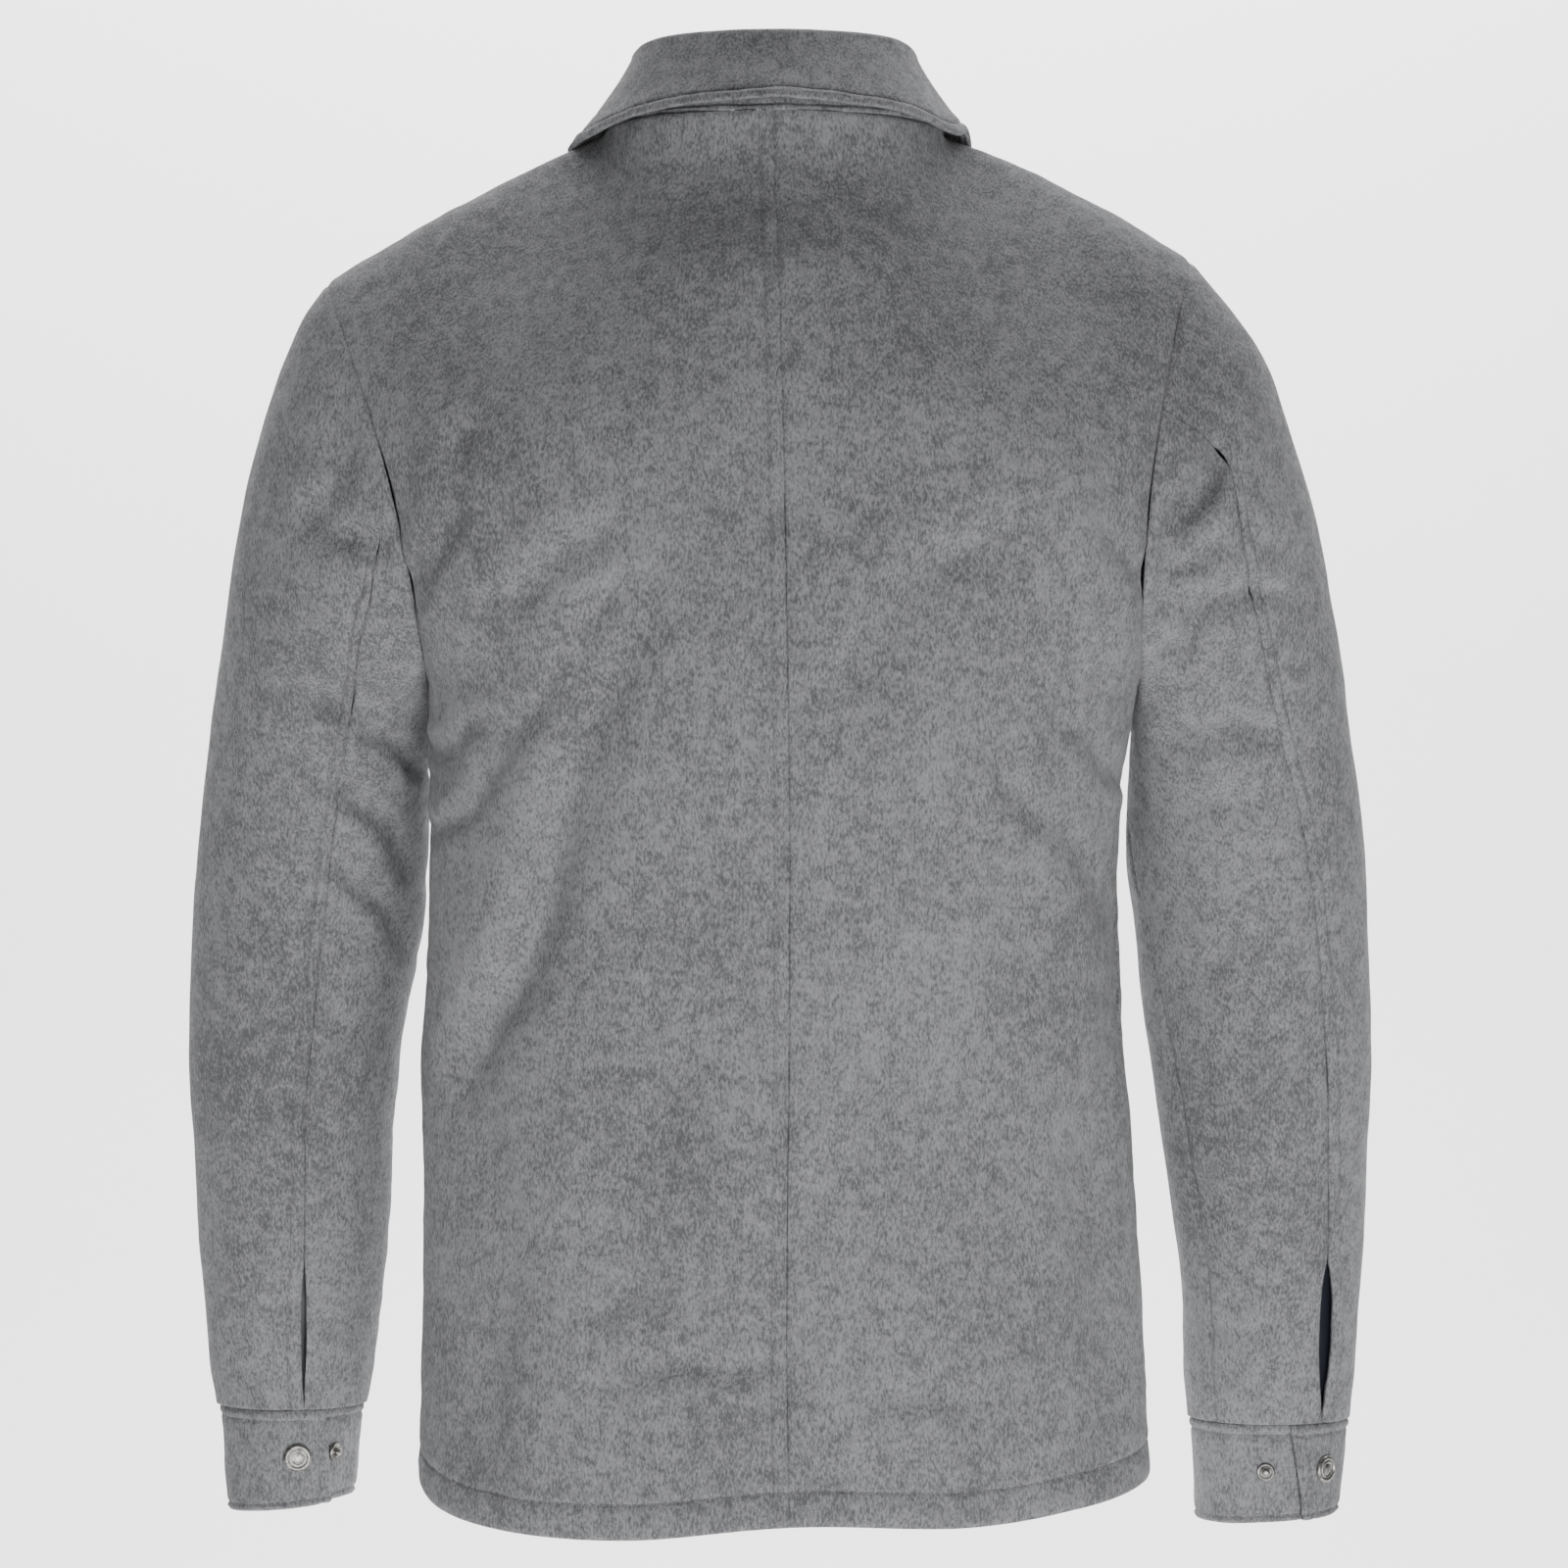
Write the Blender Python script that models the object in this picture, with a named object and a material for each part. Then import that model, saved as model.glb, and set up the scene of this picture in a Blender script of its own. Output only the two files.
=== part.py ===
"""A man's wool overshirt jacket, filled out with no wearer, for Blender 4.5.

Metres, +Z up. The back faces -Y and the front +Y, so the wearer's left is at -X. The origin is the
middle of the neck opening, level with the seam that joins the collar to the back. Each piece that is
cut and sewn on is one closed wall of cloth, and pieces stand a seam gap apart.
"""
import math

import bmesh
import bpy
import numpy as np
from mathutils import Matrix, Vector
from mathutils.bvhtree import BVHTree
from mathutils.kdtree import KDTree

# Cloth
WALL = 0.0025
CUFF_WALL = 0.003
CUFF_TUCK = 0.0012
CUFF_TUCK_STARTS = 75.0
CUFF_TUCK_TAKES = 38.0
CUFF_SNAP_DROP = 0.48
LINING_WALL = 0.0012
LINING_INSET = 0.0035
LINING_HALF_ANGLE = 38.0
LINING_SECTIONS = (3.2, 0.05)
SEAM_GAP = 0.0003
SEWN_WITHIN = 0.00005
NECK_SEAM_CLEAR = 0.0009
SHARPEST_CORNER = 0.15
LAY_CLEAR = 0.0038
LAY_BESIDE = 0.008

# Neck opening, measured at the collar seam
NECK_MIDDLE_X = -0.005
NECK_MIDDLE_Y = -0.003
NECK_HALF_WIDTH = 0.090
NECK_HALF_DEPTH = 0.075
NECK_FRONT_DROP = 0.072

# Collar
STAND_HEIGHT = 0.0395
STAND_LEAN = 0.58
STAND_FRONT_LEAN = 0.40
STAND_FRONT_HEIGHT = 0.030
FOLD_RADIUS = 0.0045
COLLAR_END_ANGLE = 178.0
FRONT_STAND_CLEAR = 0.0030
ROLL_FRONT_CLEAR = 0.0016

# Shoulders and armholes
SHOULDER_BULGE = 0.005
ARMPIT_HEIGHT = -0.292
ARMHOLE_COLUMNS = 12
ARMPIT_EASE = 0.0006
ARMPIT_EASE_ANGLE = 20.0

# Front fastening
FRONT_LAP = 0.022
LAP_DROP = 0.003
LAP_RAMP = 0.035
FRONT_TUCK = 0.0065
FRONT_SNAPS = 6
FIRST_SNAP_HEIGHT = -0.130
LAST_SNAP_HEIGHT = -0.665
SNAP_DIAMETER = 0.015
STUD_DIAMETER = 0.0098

# Mesh fineness
PANEL_COLUMNS = 12
NECK_COLUMNS = 5
LOWER_ROWS = 13
SLEEVE_RINGS = 24
UNDER_COLUMNS = 9
CUFF_COLUMNS = 26
CUFF_ROWS = 3
LEAF_ROWS = 33
SNAP_SIDES = 12
FOLD_FADE = 2.5
NECK_SOFTENING = 20

# Sections of the body. left, right: side seams. back, front: middle of the panels.
# side: how far back the side seams lie. seam: centre back seam.
BODY_COLUMNS = ("height", "left", "right", "back", "front", "side", "seam")
BODY = (
    (-0.735, -0.1925, 0.1940, -0.133, 0.126, -0.020, 0.0030),
    (-0.657, -0.1900, 0.1904, -0.128, 0.124, -0.020, 0.0015),
    (-0.554, -0.1894, 0.1842, -0.123, 0.122, -0.020, 0.0020),
    (-0.471, -0.1878, 0.1790, -0.123, 0.124, -0.020, 0.0028),
    (-0.389, -0.1868, 0.1752, -0.128, 0.128, -0.020, 0.0030),
    (-0.330, -0.1864, 0.1800, -0.132, 0.129, -0.020, 0.0026),
    (-0.292, -0.1868, 0.1865, -0.133, 0.128, -0.020, 0.0020),
    (-0.200, -0.1900, 0.1900, -0.129, 0.118, -0.020, 0.0005),
    (-0.120, -0.2000, 0.2000, -0.118, 0.097, -0.020, -0.0015),
    (-0.072, -0.2000, 0.2000, -0.106, 0.072, -0.020, -0.0027),
    (-0.035, -0.2000, 0.2000, -0.093, 0.060, -0.020, -0.0040),
    (0.000, -0.2000, 0.2000, -0.078, 0.050, -0.020, -0.0050),
)

# Hem heights, from the left side seam (-1) to the right one (1)
HEM_COLUMNS = ("across", "back", "front")
HEM = (
    (-1.00, -0.7115, -0.7115),
    (-0.75, -0.7225, -0.7150),
    (-0.50, -0.7295, -0.7185),
    (-0.25, -0.7300, -0.7210),
    (0.00, -0.7225, -0.7220),
    (0.30, -0.7240, -0.7210),
    (0.55, -0.7185, -0.7170),
    (0.80, -0.7125, -0.7115),
    (1.00, -0.7085, -0.7085),
)

# Sections of the sleeves, from the armhole down. Each ring runs from an outer to an inner point.
# depth: half its depth. bow: how far its middle is pulled to the body. seam_at: where the back seam
# lies, from the outer edge (0) to the inner one (1). under: how far round the under sleeve goes.
SLEEVE_COLUMNS = ("outer_x", "outer_y", "outer_z", "inner_x", "inner_y", "inner_z",
                  "depth", "bow", "seam_at", "under")
LEFT_SLEEVE = (
    (-0.2418, -0.0050, -0.0834, -0.1868, -0.0200, -0.2920, 0.062, 0.009, 0.500, 135),
    (-0.2525, -0.0040, -0.0990, -0.1872, -0.0150, -0.2950, 0.063, 0.005, 0.590, 133),
    (-0.2630, -0.0020, -0.1198, -0.1873, -0.0090, -0.2985, 0.064, 0.002, 0.650, 130),
    (-0.2720, 0.0010, -0.1424, -0.1875, -0.0020, -0.3030, 0.065, 0.000, 0.680, 127),
    (-0.2805, 0.0050, -0.1722, -0.1878, 0.0070, -0.3085, 0.066, 0.000, 0.672, 123),
    (-0.2885, 0.0110, -0.2052, -0.1880, 0.0170, -0.3150, 0.067, 0.000, 0.667, 119),
    (-0.2955, 0.0190, -0.2412, -0.1884, 0.0260, -0.3255, 0.066, 0.000, 0.665, 115),
    (-0.3020, 0.0290, -0.2775, -0.1894, 0.0360, -0.3425, 0.064, 0.000, 0.650, 111),
    (-0.3083, 0.0400, -0.3165, -0.1912, 0.0450, -0.3660, 0.062, 0.000, 0.638, 106),
    (-0.3145, 0.0490, -0.3608, -0.1930, 0.0530, -0.3930, 0.059, 0.000, 0.620, 101),
    (-0.3198, 0.0570, -0.4114, -0.1957, 0.0590, -0.4250, 0.056, 0.000, 0.610, 96),
    (-0.3230, 0.0630, -0.4650, -0.2050, 0.0640, -0.4700, 0.054, 0.000, 0.620, 92),
    (-0.3232, 0.0690, -0.5190, -0.2112, 0.0690, -0.5180, 0.052, 0.000, 0.606, 88),
    (-0.3206, 0.0750, -0.5730, -0.2146, 0.0750, -0.5700, 0.050, 0.000, 0.604, 85),
    (-0.3170, 0.0810, -0.6275, -0.2192, 0.0810, -0.6230, 0.047, 0.000, 0.604, 83),
    (-0.3138, 0.0850, -0.6650, -0.2240, 0.0850, -0.6600, 0.044, 0.000, 0.612, 82),
    (-0.3110, 0.0870, -0.6857, -0.2285, 0.0870, -0.6857, 0.042, 0.000, 0.630, 82),
)
RIGHT_SLEEVE = (
    (0.2148, -0.0050, -0.0710, 0.1865, -0.0200, -0.2920, 0.062, 0.009, 0.3706, 135),
    (0.2272, -0.0040, -0.0852, 0.1866, -0.0150, -0.2948, 0.063, 0.006, 0.360, 133),
    (0.2413, -0.0020, -0.1020, 0.1865, -0.0090, -0.2982, 0.064, 0.003, 0.345, 130),
    (0.2556, 0.0010, -0.1240, 0.1864, -0.0020, -0.3025, 0.065, 0.000, 0.335, 127),
    (0.2667, 0.0050, -0.1528, 0.1862, 0.0070, -0.3080, 0.066, 0.000, 0.365, 123),
    (0.2772, 0.0110, -0.1842, 0.1860, 0.0170, -0.3150, 0.067, 0.000, 0.390, 119),
    (0.2860, 0.0190, -0.2182, 0.1856, 0.0260, -0.3255, 0.066, 0.000, 0.385, 115),
    (0.2945, 0.0290, -0.2550, 0.1852, 0.0360, -0.3425, 0.064, 0.000, 0.370, 111),
    (0.3020, 0.0400, -0.2995, 0.1850, 0.0450, -0.3660, 0.062, 0.000, 0.340, 106),
    (0.3095, 0.0490, -0.3486, 0.1860, 0.0530, -0.3930, 0.059, 0.000, 0.290, 101),
    (0.3152, 0.0570, -0.4010, 0.1898, 0.0590, -0.4220, 0.056, 0.000, 0.262, 96),
    (0.3185, 0.0630, -0.4595, 0.1944, 0.0640, -0.4620, 0.054, 0.000, 0.242, 92),
    (0.3192, 0.0690, -0.5135, 0.2023, 0.0690, -0.5130, 0.052, 0.000, 0.230, 88),
    (0.3178, 0.0750, -0.5675, 0.2103, 0.0750, -0.5675, 0.050, 0.000, 0.224, 85),
    (0.3148, 0.0810, -0.6240, 0.2177, 0.0810, -0.6240, 0.047, 0.000, 0.216, 83),
    (0.3126, 0.0850, -0.6675, 0.2196, 0.0850, -0.6675, 0.045, 0.000, 0.216, 82),
    (0.3100, 0.0870, -0.6935, 0.2212, 0.0870, -0.6935, 0.043, 0.000, 0.200, 82),
)

# Sleeve vents, open from vent_top down to the cuff. gap: widest opening.
VENTS = {"left": {"top": -0.604, "gap": 0.0030}, "right": {"top": -0.602, "gap": 0.0100}}

# Cuffs, unfastened. Angles go round the wrist from its outer side (0), negative at the back.
# flap: end of the upper lap. tuck: end of the under lap. cap, stud: snap halves.
CUFFS = {
    "left": {"top": (-0.2700, 0.0875, -0.6860), "bottom": (-0.2700, 0.0900, -0.7400),
             "top_half": (0.0392, 0.0420), "bottom_half": (0.0345, 0.0405),
             "flap": -131.0, "tuck": -108.0, "cap": -101.0, "stud": -141.0,
             "slant": -0.0035, "flap_slant": 13.0},
    "right": {"top": (0.2655, 0.0875, -0.6938), "bottom": (0.2650, 0.0900, -0.7475),
              "top_half": (0.0430, 0.0430), "bottom_half": (0.0392, 0.0415),
              "flap": -72.0, "tuck": -60.0, "cap": -47.0, "stud": -97.0,
              "slant": 0.002, "flap_slant": -14.0},
}

# Largest folds. Each is a soft line from x, z to x, z with a width and a depth, negative for a trough.
BACK_FOLDS = (
    (-0.092, -0.325, -0.140, -0.450, 0.017, -0.0060),
    (-0.125, -0.320, -0.160, -0.430, 0.022, 0.0035),
    (-0.088, -0.265, -0.128, -0.318, 0.016, -0.0035),
    (-0.096, -0.225, -0.132, -0.252, 0.015, -0.0025),
    (0.096, -0.230, 0.036, -0.280, 0.020, -0.0025),
    (0.168, -0.460, 0.150, -0.535, 0.017, -0.0030),
    (-0.160, -0.470, -0.172, -0.680, 0.020, -0.0045),
    (-0.120, -0.480, -0.128, -0.690, 0.028, 0.0035),
    (0.165, -0.520, 0.172, -0.670, 0.022, -0.0035),
    (-0.150, -0.090, -0.200, -0.115, 0.026, -0.0040),
    (0.160, -0.100, 0.176, -0.140, 0.020, -0.0030),
)
FRONT_FOLDS = (
    (0.090, -0.310, 0.138, -0.430, 0.018, -0.0055),
    (0.122, -0.300, 0.160, -0.410, 0.022, 0.0030),
    (-0.085, -0.290, -0.135, -0.395, 0.018, -0.0045),
    (-0.160, -0.480, -0.168, -0.660, 0.022, -0.0035),
    (0.160, -0.500, 0.170, -0.680, 0.022, -0.0040),
    (0.118, -0.520, 0.125, -0.690, 0.026, 0.0030),
    (0.140, -0.120, 0.185, -0.200, 0.022, -0.0035),
    (-0.150, -0.125, -0.190, -0.210, 0.022, -0.0035),
)
SLEEVE_FOLDS = (
    (-0.210, -0.140, -0.232, -0.175, 0.016, -0.0045),
    (-0.240, -0.205, -0.208, -0.226, 0.010, -0.0025),
    (-0.245, -0.304, -0.205, -0.308, 0.010, -0.0045),
    (-0.240, -0.262, -0.215, -0.280, 0.022, 0.0030),
    (-0.213, -0.318, -0.196, -0.335, 0.008, -0.0035),
    (-0.222, -0.356, -0.200, -0.388, 0.009, -0.0035),
    (-0.222, -0.404, -0.205, -0.430, 0.009, -0.0030),
    (0.220, -0.178, 0.196, -0.225, 0.009, -0.0065),
    (0.215, -0.225, 0.198, -0.245, 0.008, -0.0030),
    (0.238, -0.248, 0.194, -0.254, 0.008, -0.0035),
    (0.252, -0.202, 0.258, -0.212, 0.010, 0.0025),
    (0.252, -0.320, 0.208, -0.322, 0.008, -0.0035),
    (0.242, -0.356, 0.214, -0.358, 0.010, -0.0025),
)
SLEEVE_FRONT_FOLDS = (
    (-0.250, -0.330, -0.205, -0.350, 0.011, -0.0045),
    (-0.262, -0.372, -0.214, -0.400, 0.011, -0.0050),
    (-0.258, -0.430, -0.226, -0.446, 0.010, -0.0035),
    (-0.235, -0.150, -0.212, -0.205, 0.014, -0.0050),
    (0.250, -0.330, 0.208, -0.344, 0.011, -0.0050),
    (0.262, -0.378, 0.214, -0.398, 0.011, -0.0045),
    (0.255, -0.432, 0.224, -0.452, 0.010, -0.0035),
    (0.226, -0.140, 0.208, -0.200, 0.014, -0.0050),
)


def column(table, names, name):
    """One named column of a table."""
    place = names.index(name)
    return np.array([row[place] for row in table])


def through(keys, values, at):
    """A smooth curve through (keys, values), read at one place or an array of places."""
    slopes = np.gradient(values, keys)
    place = np.clip(np.searchsorted(keys, at) - 1, 0, len(keys) - 2)
    span = keys[place + 1] - keys[place]
    t = np.clip((at - keys[place]) / span, 0.0, 1.0)
    rise = values[place + 1] - values[place]
    start = slopes[place] * span
    end = slopes[place + 1] * span
    return (values[place] + t * start + t**2 * (3 * rise - 2 * start - end)
            + t**3 * (start + end - 2 * rise))


def smooth(value):
    """Ease from 0 to 1."""
    value = np.clip(value, 0.0, 1.0)
    return value * value * (3 - 2 * value)


def bezier(p0, p1, p2, p3, t):
    """Point on a cubic curve."""
    return p0 * (1 - t)**3 + 3 * p1 * t * (1 - t)**2 + 3 * p2 * t * t * (1 - t) + p3 * t**3


def unit(vector):
    """The vector at length one."""
    length = np.linalg.norm(vector, axis=-1, keepdims=True)
    return vector / np.maximum(length, 1e-12)


def body_at(height):
    """The body's named sizes at a height."""
    heights = column(BODY, BODY_COLUMNS, "height")
    return {name: through(heights, column(BODY, BODY_COLUMNS, name), height)
            for name in BODY_COLUMNS[1:]}


def hem_height(across, half):
    """Height of the hem on the back or front half, from the left side (-1) to the right (1)."""
    return through(column(HEM, HEM_COLUMNS, "across"), column(HEM, HEM_COLUMNS, half), across)


def fold_amount(x, z, folds):
    """How far the folds push the cloth out (+) or in (-) at x and z."""
    total = 0.0
    for x0, z0, x1, z1, width, depth in folds:
        run = np.array([x1 - x0, z1 - z0])
        along = ((x - x0) * run[0] + (z - z0) * run[1]) / run.dot(run)
        nearest = np.clip(along, 0.0, 1.0)
        distance = math.hypot(x - x0 - nearest * run[0], z - z0 - nearest * run[1])
        total += depth * math.exp(-(distance / width)**2)
    return total


def neck_point(angle):
    """Point of the collar seam. 0 degrees is the nape, -90 the left side, 180 the front."""
    turn = math.radians(angle)
    forward = (1 - math.cos(turn)) / 2
    lap_drop = LAP_DROP if abs(angle) > 180.0 else 0.0
    return np.array([NECK_MIDDLE_X + NECK_HALF_WIDTH * math.sin(turn),
                     NECK_MIDDLE_Y - NECK_HALF_DEPTH * math.cos(turn),
                     -NECK_FRONT_DROP * forward**4 - lap_drop])


LAP_ANGLE = math.degrees(math.asin(FRONT_LAP / 2 / NECK_HALF_WIDTH))


def neck_angles(half, sign):
    """Angles of the collar seam at a panel's columns, from its middle to the shoulder seam."""
    first = 0.0 if half == "back" else 180.0 + LAP_ANGLE
    return [sign * (first + (90.0 - first) * i / NECK_COLUMNS) for i in range(NECK_COLUMNS + 1)]


def sleeve_at(table, place, angle):
    """Point of a sleeve: place counts the table's rows, angle goes round from the outer side."""
    rows = np.arange(len(table), dtype=float)
    value = {name: through(rows, column(table, SLEEVE_COLUMNS, name), place)
             for name in SLEEVE_COLUMNS}
    outer = np.array([value["outer_x"], value["outer_y"], value["outer_z"]])
    inner = np.array([value["inner_x"], value["inner_y"], value["inner_z"]])
    turn = math.radians(angle)
    point = (outer + inner) / 2 + (outer - inner) / 2 * math.cos(turn)
    point[1] += value["depth"] * math.sin(turn)
    point[0] -= math.copysign(value["bow"], point[0]) * math.sin(turn)**2
    return point


def sleeve_normal(table, place, angle):
    """Unit normal of a sleeve's surface, facing out."""
    last = len(table) - 1.0
    around = sleeve_at(table, place, angle + 2.0) - sleeve_at(table, place, angle - 2.0)
    down = (sleeve_at(table, min(place + 0.1, last), angle)
            - sleeve_at(table, max(place - 0.1, 0.0), angle))
    normal = unit(np.cross(around, down))
    centre = (sleeve_at(table, place, 0.0) + sleeve_at(table, place, 180.0)) / 2
    outward = normal.dot(sleeve_at(table, place, angle) - centre)
    return math.copysign(1.0, outward) * normal


def seam_angles(table, place):
    """Angles of the back seam and of the front seam at a place down the sleeve."""
    rows = np.arange(len(table), dtype=float)
    seam_at = through(rows, column(table, SLEEVE_COLUMNS, "seam_at"), place)
    under = through(rows, column(table, SLEEVE_COLUMNS, "under"), place)
    back = -math.degrees(math.acos(1 - 2 * seam_at))
    return back, back - under


def body_folds(grid, half):
    """Move a panel's points by the folds of its half, fading out towards its sewn side and top."""
    folds = BACK_FOLDS if half == "back" else FRONT_FOLDS
    outward = -1.0 if half == "back" else 1.0
    last_row = len(grid) - 1
    for j, row in enumerate(grid):
        for i, point in enumerate(row):
            fade = smooth((PANEL_COLUMNS - i) / FOLD_FADE) * smooth((last_row - j) / FOLD_FADE)
            point[1] += outward * fade * fold_amount(point[0], point[2], folds)


def armhole_point(sign, half, step):
    """Point of the armhole, from the armpit (step 0) to the shoulder tip (ARMHOLE_COLUMNS)."""
    table = LEFT_SLEEVE if sign < 0 else RIGHT_SLEEVE
    turn = 180.0 * (1 - step / ARMHOLE_COLUMNS)
    return sleeve_at(table, 0.0, -turn if half == "back" else turn)


def plan_row(sign, half, height):
    """A level row of a panel from its middle to the side seam, at a height."""
    size = body_at(height)
    side_x = size["left"] if sign < 0 else size["right"]
    middle_x = size["seam"]
    if half == "front":
        middle_x = size["seam"] - sign * FRONT_LAP / 2
    start = np.array([middle_x, size[half], height])
    end = np.array([side_x, size["side"], height])
    reach = np.array([0.60 * (side_x - middle_x), 0.0, 0.0])
    rise = np.array([0.0, 0.62 * (size[half] - size["side"]), 0.0])
    return [bezier(start, start + reach, end + rise, end, i / PANEL_COLUMNS)
            for i in range(PANEL_COLUMNS + 1)]


def panel_grid(sign, half):
    """Outer points of a front or back panel: rows from hem to shoulder, columns from its middle."""
    grid = []
    base = plan_row(sign, half, ARMPIT_HEIGHT)
    for j in range(LOWER_ROWS):
        lift = j / LOWER_ROWS
        row = []
        for i in range(PANEL_COLUMNS + 1):
            bottom = hem_height(sign * i / PANEL_COLUMNS, half)
            height = bottom + (ARMPIT_HEIGHT - bottom) * lift
            row.append(plan_row(sign, half, height)[i])
        grid.append(row)
    neck = [neck_point(angle) for angle in neck_angles(half, sign)]
    tip = armhole_point(sign, half, ARMHOLE_COLUMNS)
    across = PANEL_COLUMNS - NECK_COLUMNS
    seam = []
    for i in range(1, across + 1):
        t = i / across
        point = neck[-1] + (tip - neck[-1]) * t
        point[2] += SHOULDER_BULGE * 4 * t * (1 - t)
        seam.append(point)
    shoulder_way = unit(tip - neck[-1])
    side_way = np.array([0.0, math.copysign(1.0, base[-1][1] - base[0][1]), 0.0])
    upper = []
    for j in range(ARMHOLE_COLUMNS + 1):
        v = (1 - math.cos(math.pi * j / ARMHOLE_COLUMNS)) / 2
        height = ARMPIT_HEIGHT + (neck[0][2] - ARMPIT_HEIGHT) * v
        size = body_at(height)
        middle = np.array([size["seam"], size[half], height])
        if half == "front":
            middle[0] -= sign * FRONT_LAP / 2
        middle += (neck[0] - np.array([middle[0], size[half], neck[0][2]])) * smooth((v - 0.7) / 0.3)
        edge = armhole_point(sign, half, j)
        turned = smooth(j / ARMHOLE_COLUMNS)
        way = unit(side_way * (1 - turned) + shoulder_way * turned)
        low_reach = 0.62 * abs(edge[1] - middle[1])
        end_reach = low_reach + (0.35 * np.linalg.norm(tip - neck[0]) - low_reach) * turned
        start_reach = np.array([(0.60 - 0.25 * turned) * (edge[0] - middle[0]), 0.0, 0.0])
        upper.append([bezier(middle, middle + start_reach, edge - way * end_reach, edge,
                             i / PANEL_COLUMNS) for i in range(PANEL_COLUMNS + 1)])
    upper = np.array(upper)
    pull = np.array(neck + seam) - upper[-1]
    shares = [(1 - math.cos(math.pi * j / ARMHOLE_COLUMNS)) / 2 for j in range(ARMHOLE_COLUMNS + 1)]
    for j in range(ARMHOLE_COLUMNS, 0, -1):
        upper[j] += pull * smooth((shares[j] - 0.40) / 0.60)
        for _ in range(round(NECK_SOFTENING * (shares[j] - shares[j - 1]))):
            pull[1:-1] = (pull[:-2] + 2 * pull[1:-1] + pull[2:]) / 4
    grid.extend(upper)
    grid = np.array(grid)
    body_folds(grid, half)
    if half == "front" and sign > 0:
        tuck = WALL + FRONT_TUCK
        for row in grid:
            middle_x = row[0][0] + FRONT_LAP / 2
            for point in row:
                inside = 1 - smooth((point[0] - middle_x - FRONT_LAP / 2) / LAP_RAMP)
                point[1] -= tuck * inside
    return grid


def sleeve_grid(sign, piece):
    """Outer points and normals of the upper or under sleeve: rows down the arm, columns round."""
    side = "left" if sign < 0 else "right"
    table = LEFT_SLEEVE if sign < 0 else RIGHT_SLEEVE
    around = 2 * ARMHOLE_COLUMNS
    columns = UNDER_COLUMNS if piece == "under" else around - UNDER_COLUMNS
    vent = VENTS[side]
    grid = []
    normals = []
    for j in range(SLEEVE_RINGS + 1):
        place = (len(table) - 1) * j / SLEEVE_RINGS
        back, front = seam_angles(table, place)
        back_height = sleeve_at(table, place, back)[2]
        end_height = sleeve_at(table, len(table) - 1.0, back)[2]
        down = np.clip((vent["top"] - back_height) / (vent["top"] - end_height), 0.0, 1.0)
        opening = vent["gap"] / 2 * math.sin(math.pi * down**0.8)
        radius = np.linalg.norm(sleeve_at(table, place, back) - sleeve_at(table, place, back + 180)) / 2
        part = math.degrees(opening / radius)
        first, last = (back - part, front) if piece == "under" else (back + part, front + 360.0)
        row = []
        normals.append([])
        for i in range(columns + 1):
            angle = first + (last - first) * i / columns
            point = sleeve_at(table, place, angle)
            normals[-1].append(sleeve_normal(table, place, angle))
            turn = math.sin(math.radians(angle))
            folds = SLEEVE_FOLDS if turn < 0 else SLEEVE_FRONT_FOLDS
            push = fold_amount(point[0], point[2], folds) * smooth(abs(turn) * 1.6)
            push *= smooth(j / 3)
            point[1] += push * math.copysign(1.0, turn)
            if j == 0 and abs(angle + 180.0) < ARMPIT_EASE_ANGLE:
                point += np.array([sign * ARMPIT_EASE, 0.0, -ARMPIT_EASE])
            row.append(point)
        grid.append(row)
    return np.array(grid), np.array(normals)


def grid_normals(grid, facing):
    """Unit normals of a grid of points, facing +1 or -1."""
    down = np.gradient(grid, axis=0)
    along = np.gradient(grid, axis=1)
    return unit(np.cross(along, down)) * facing


def edge_lines(rows, columns):
    """The four edges of a grid: each vertex with its neighbour inside and along the edge."""
    lines = []
    for i in (0, rows - 1):
        inside = 1 if i == 0 else rows - 2
        lines.append([((i, j), (inside, j), (i, j + 1 if j == 0 else j - 1))
                      for j in range(columns)])
    for j in (0, columns - 1):
        inside = 1 if j == 0 else columns - 2
        lines.append([((i, j), (i, inside), (i + 1 if i == 0 else i - 1, j))
                      for i in range(rows)])
    return lines


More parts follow.
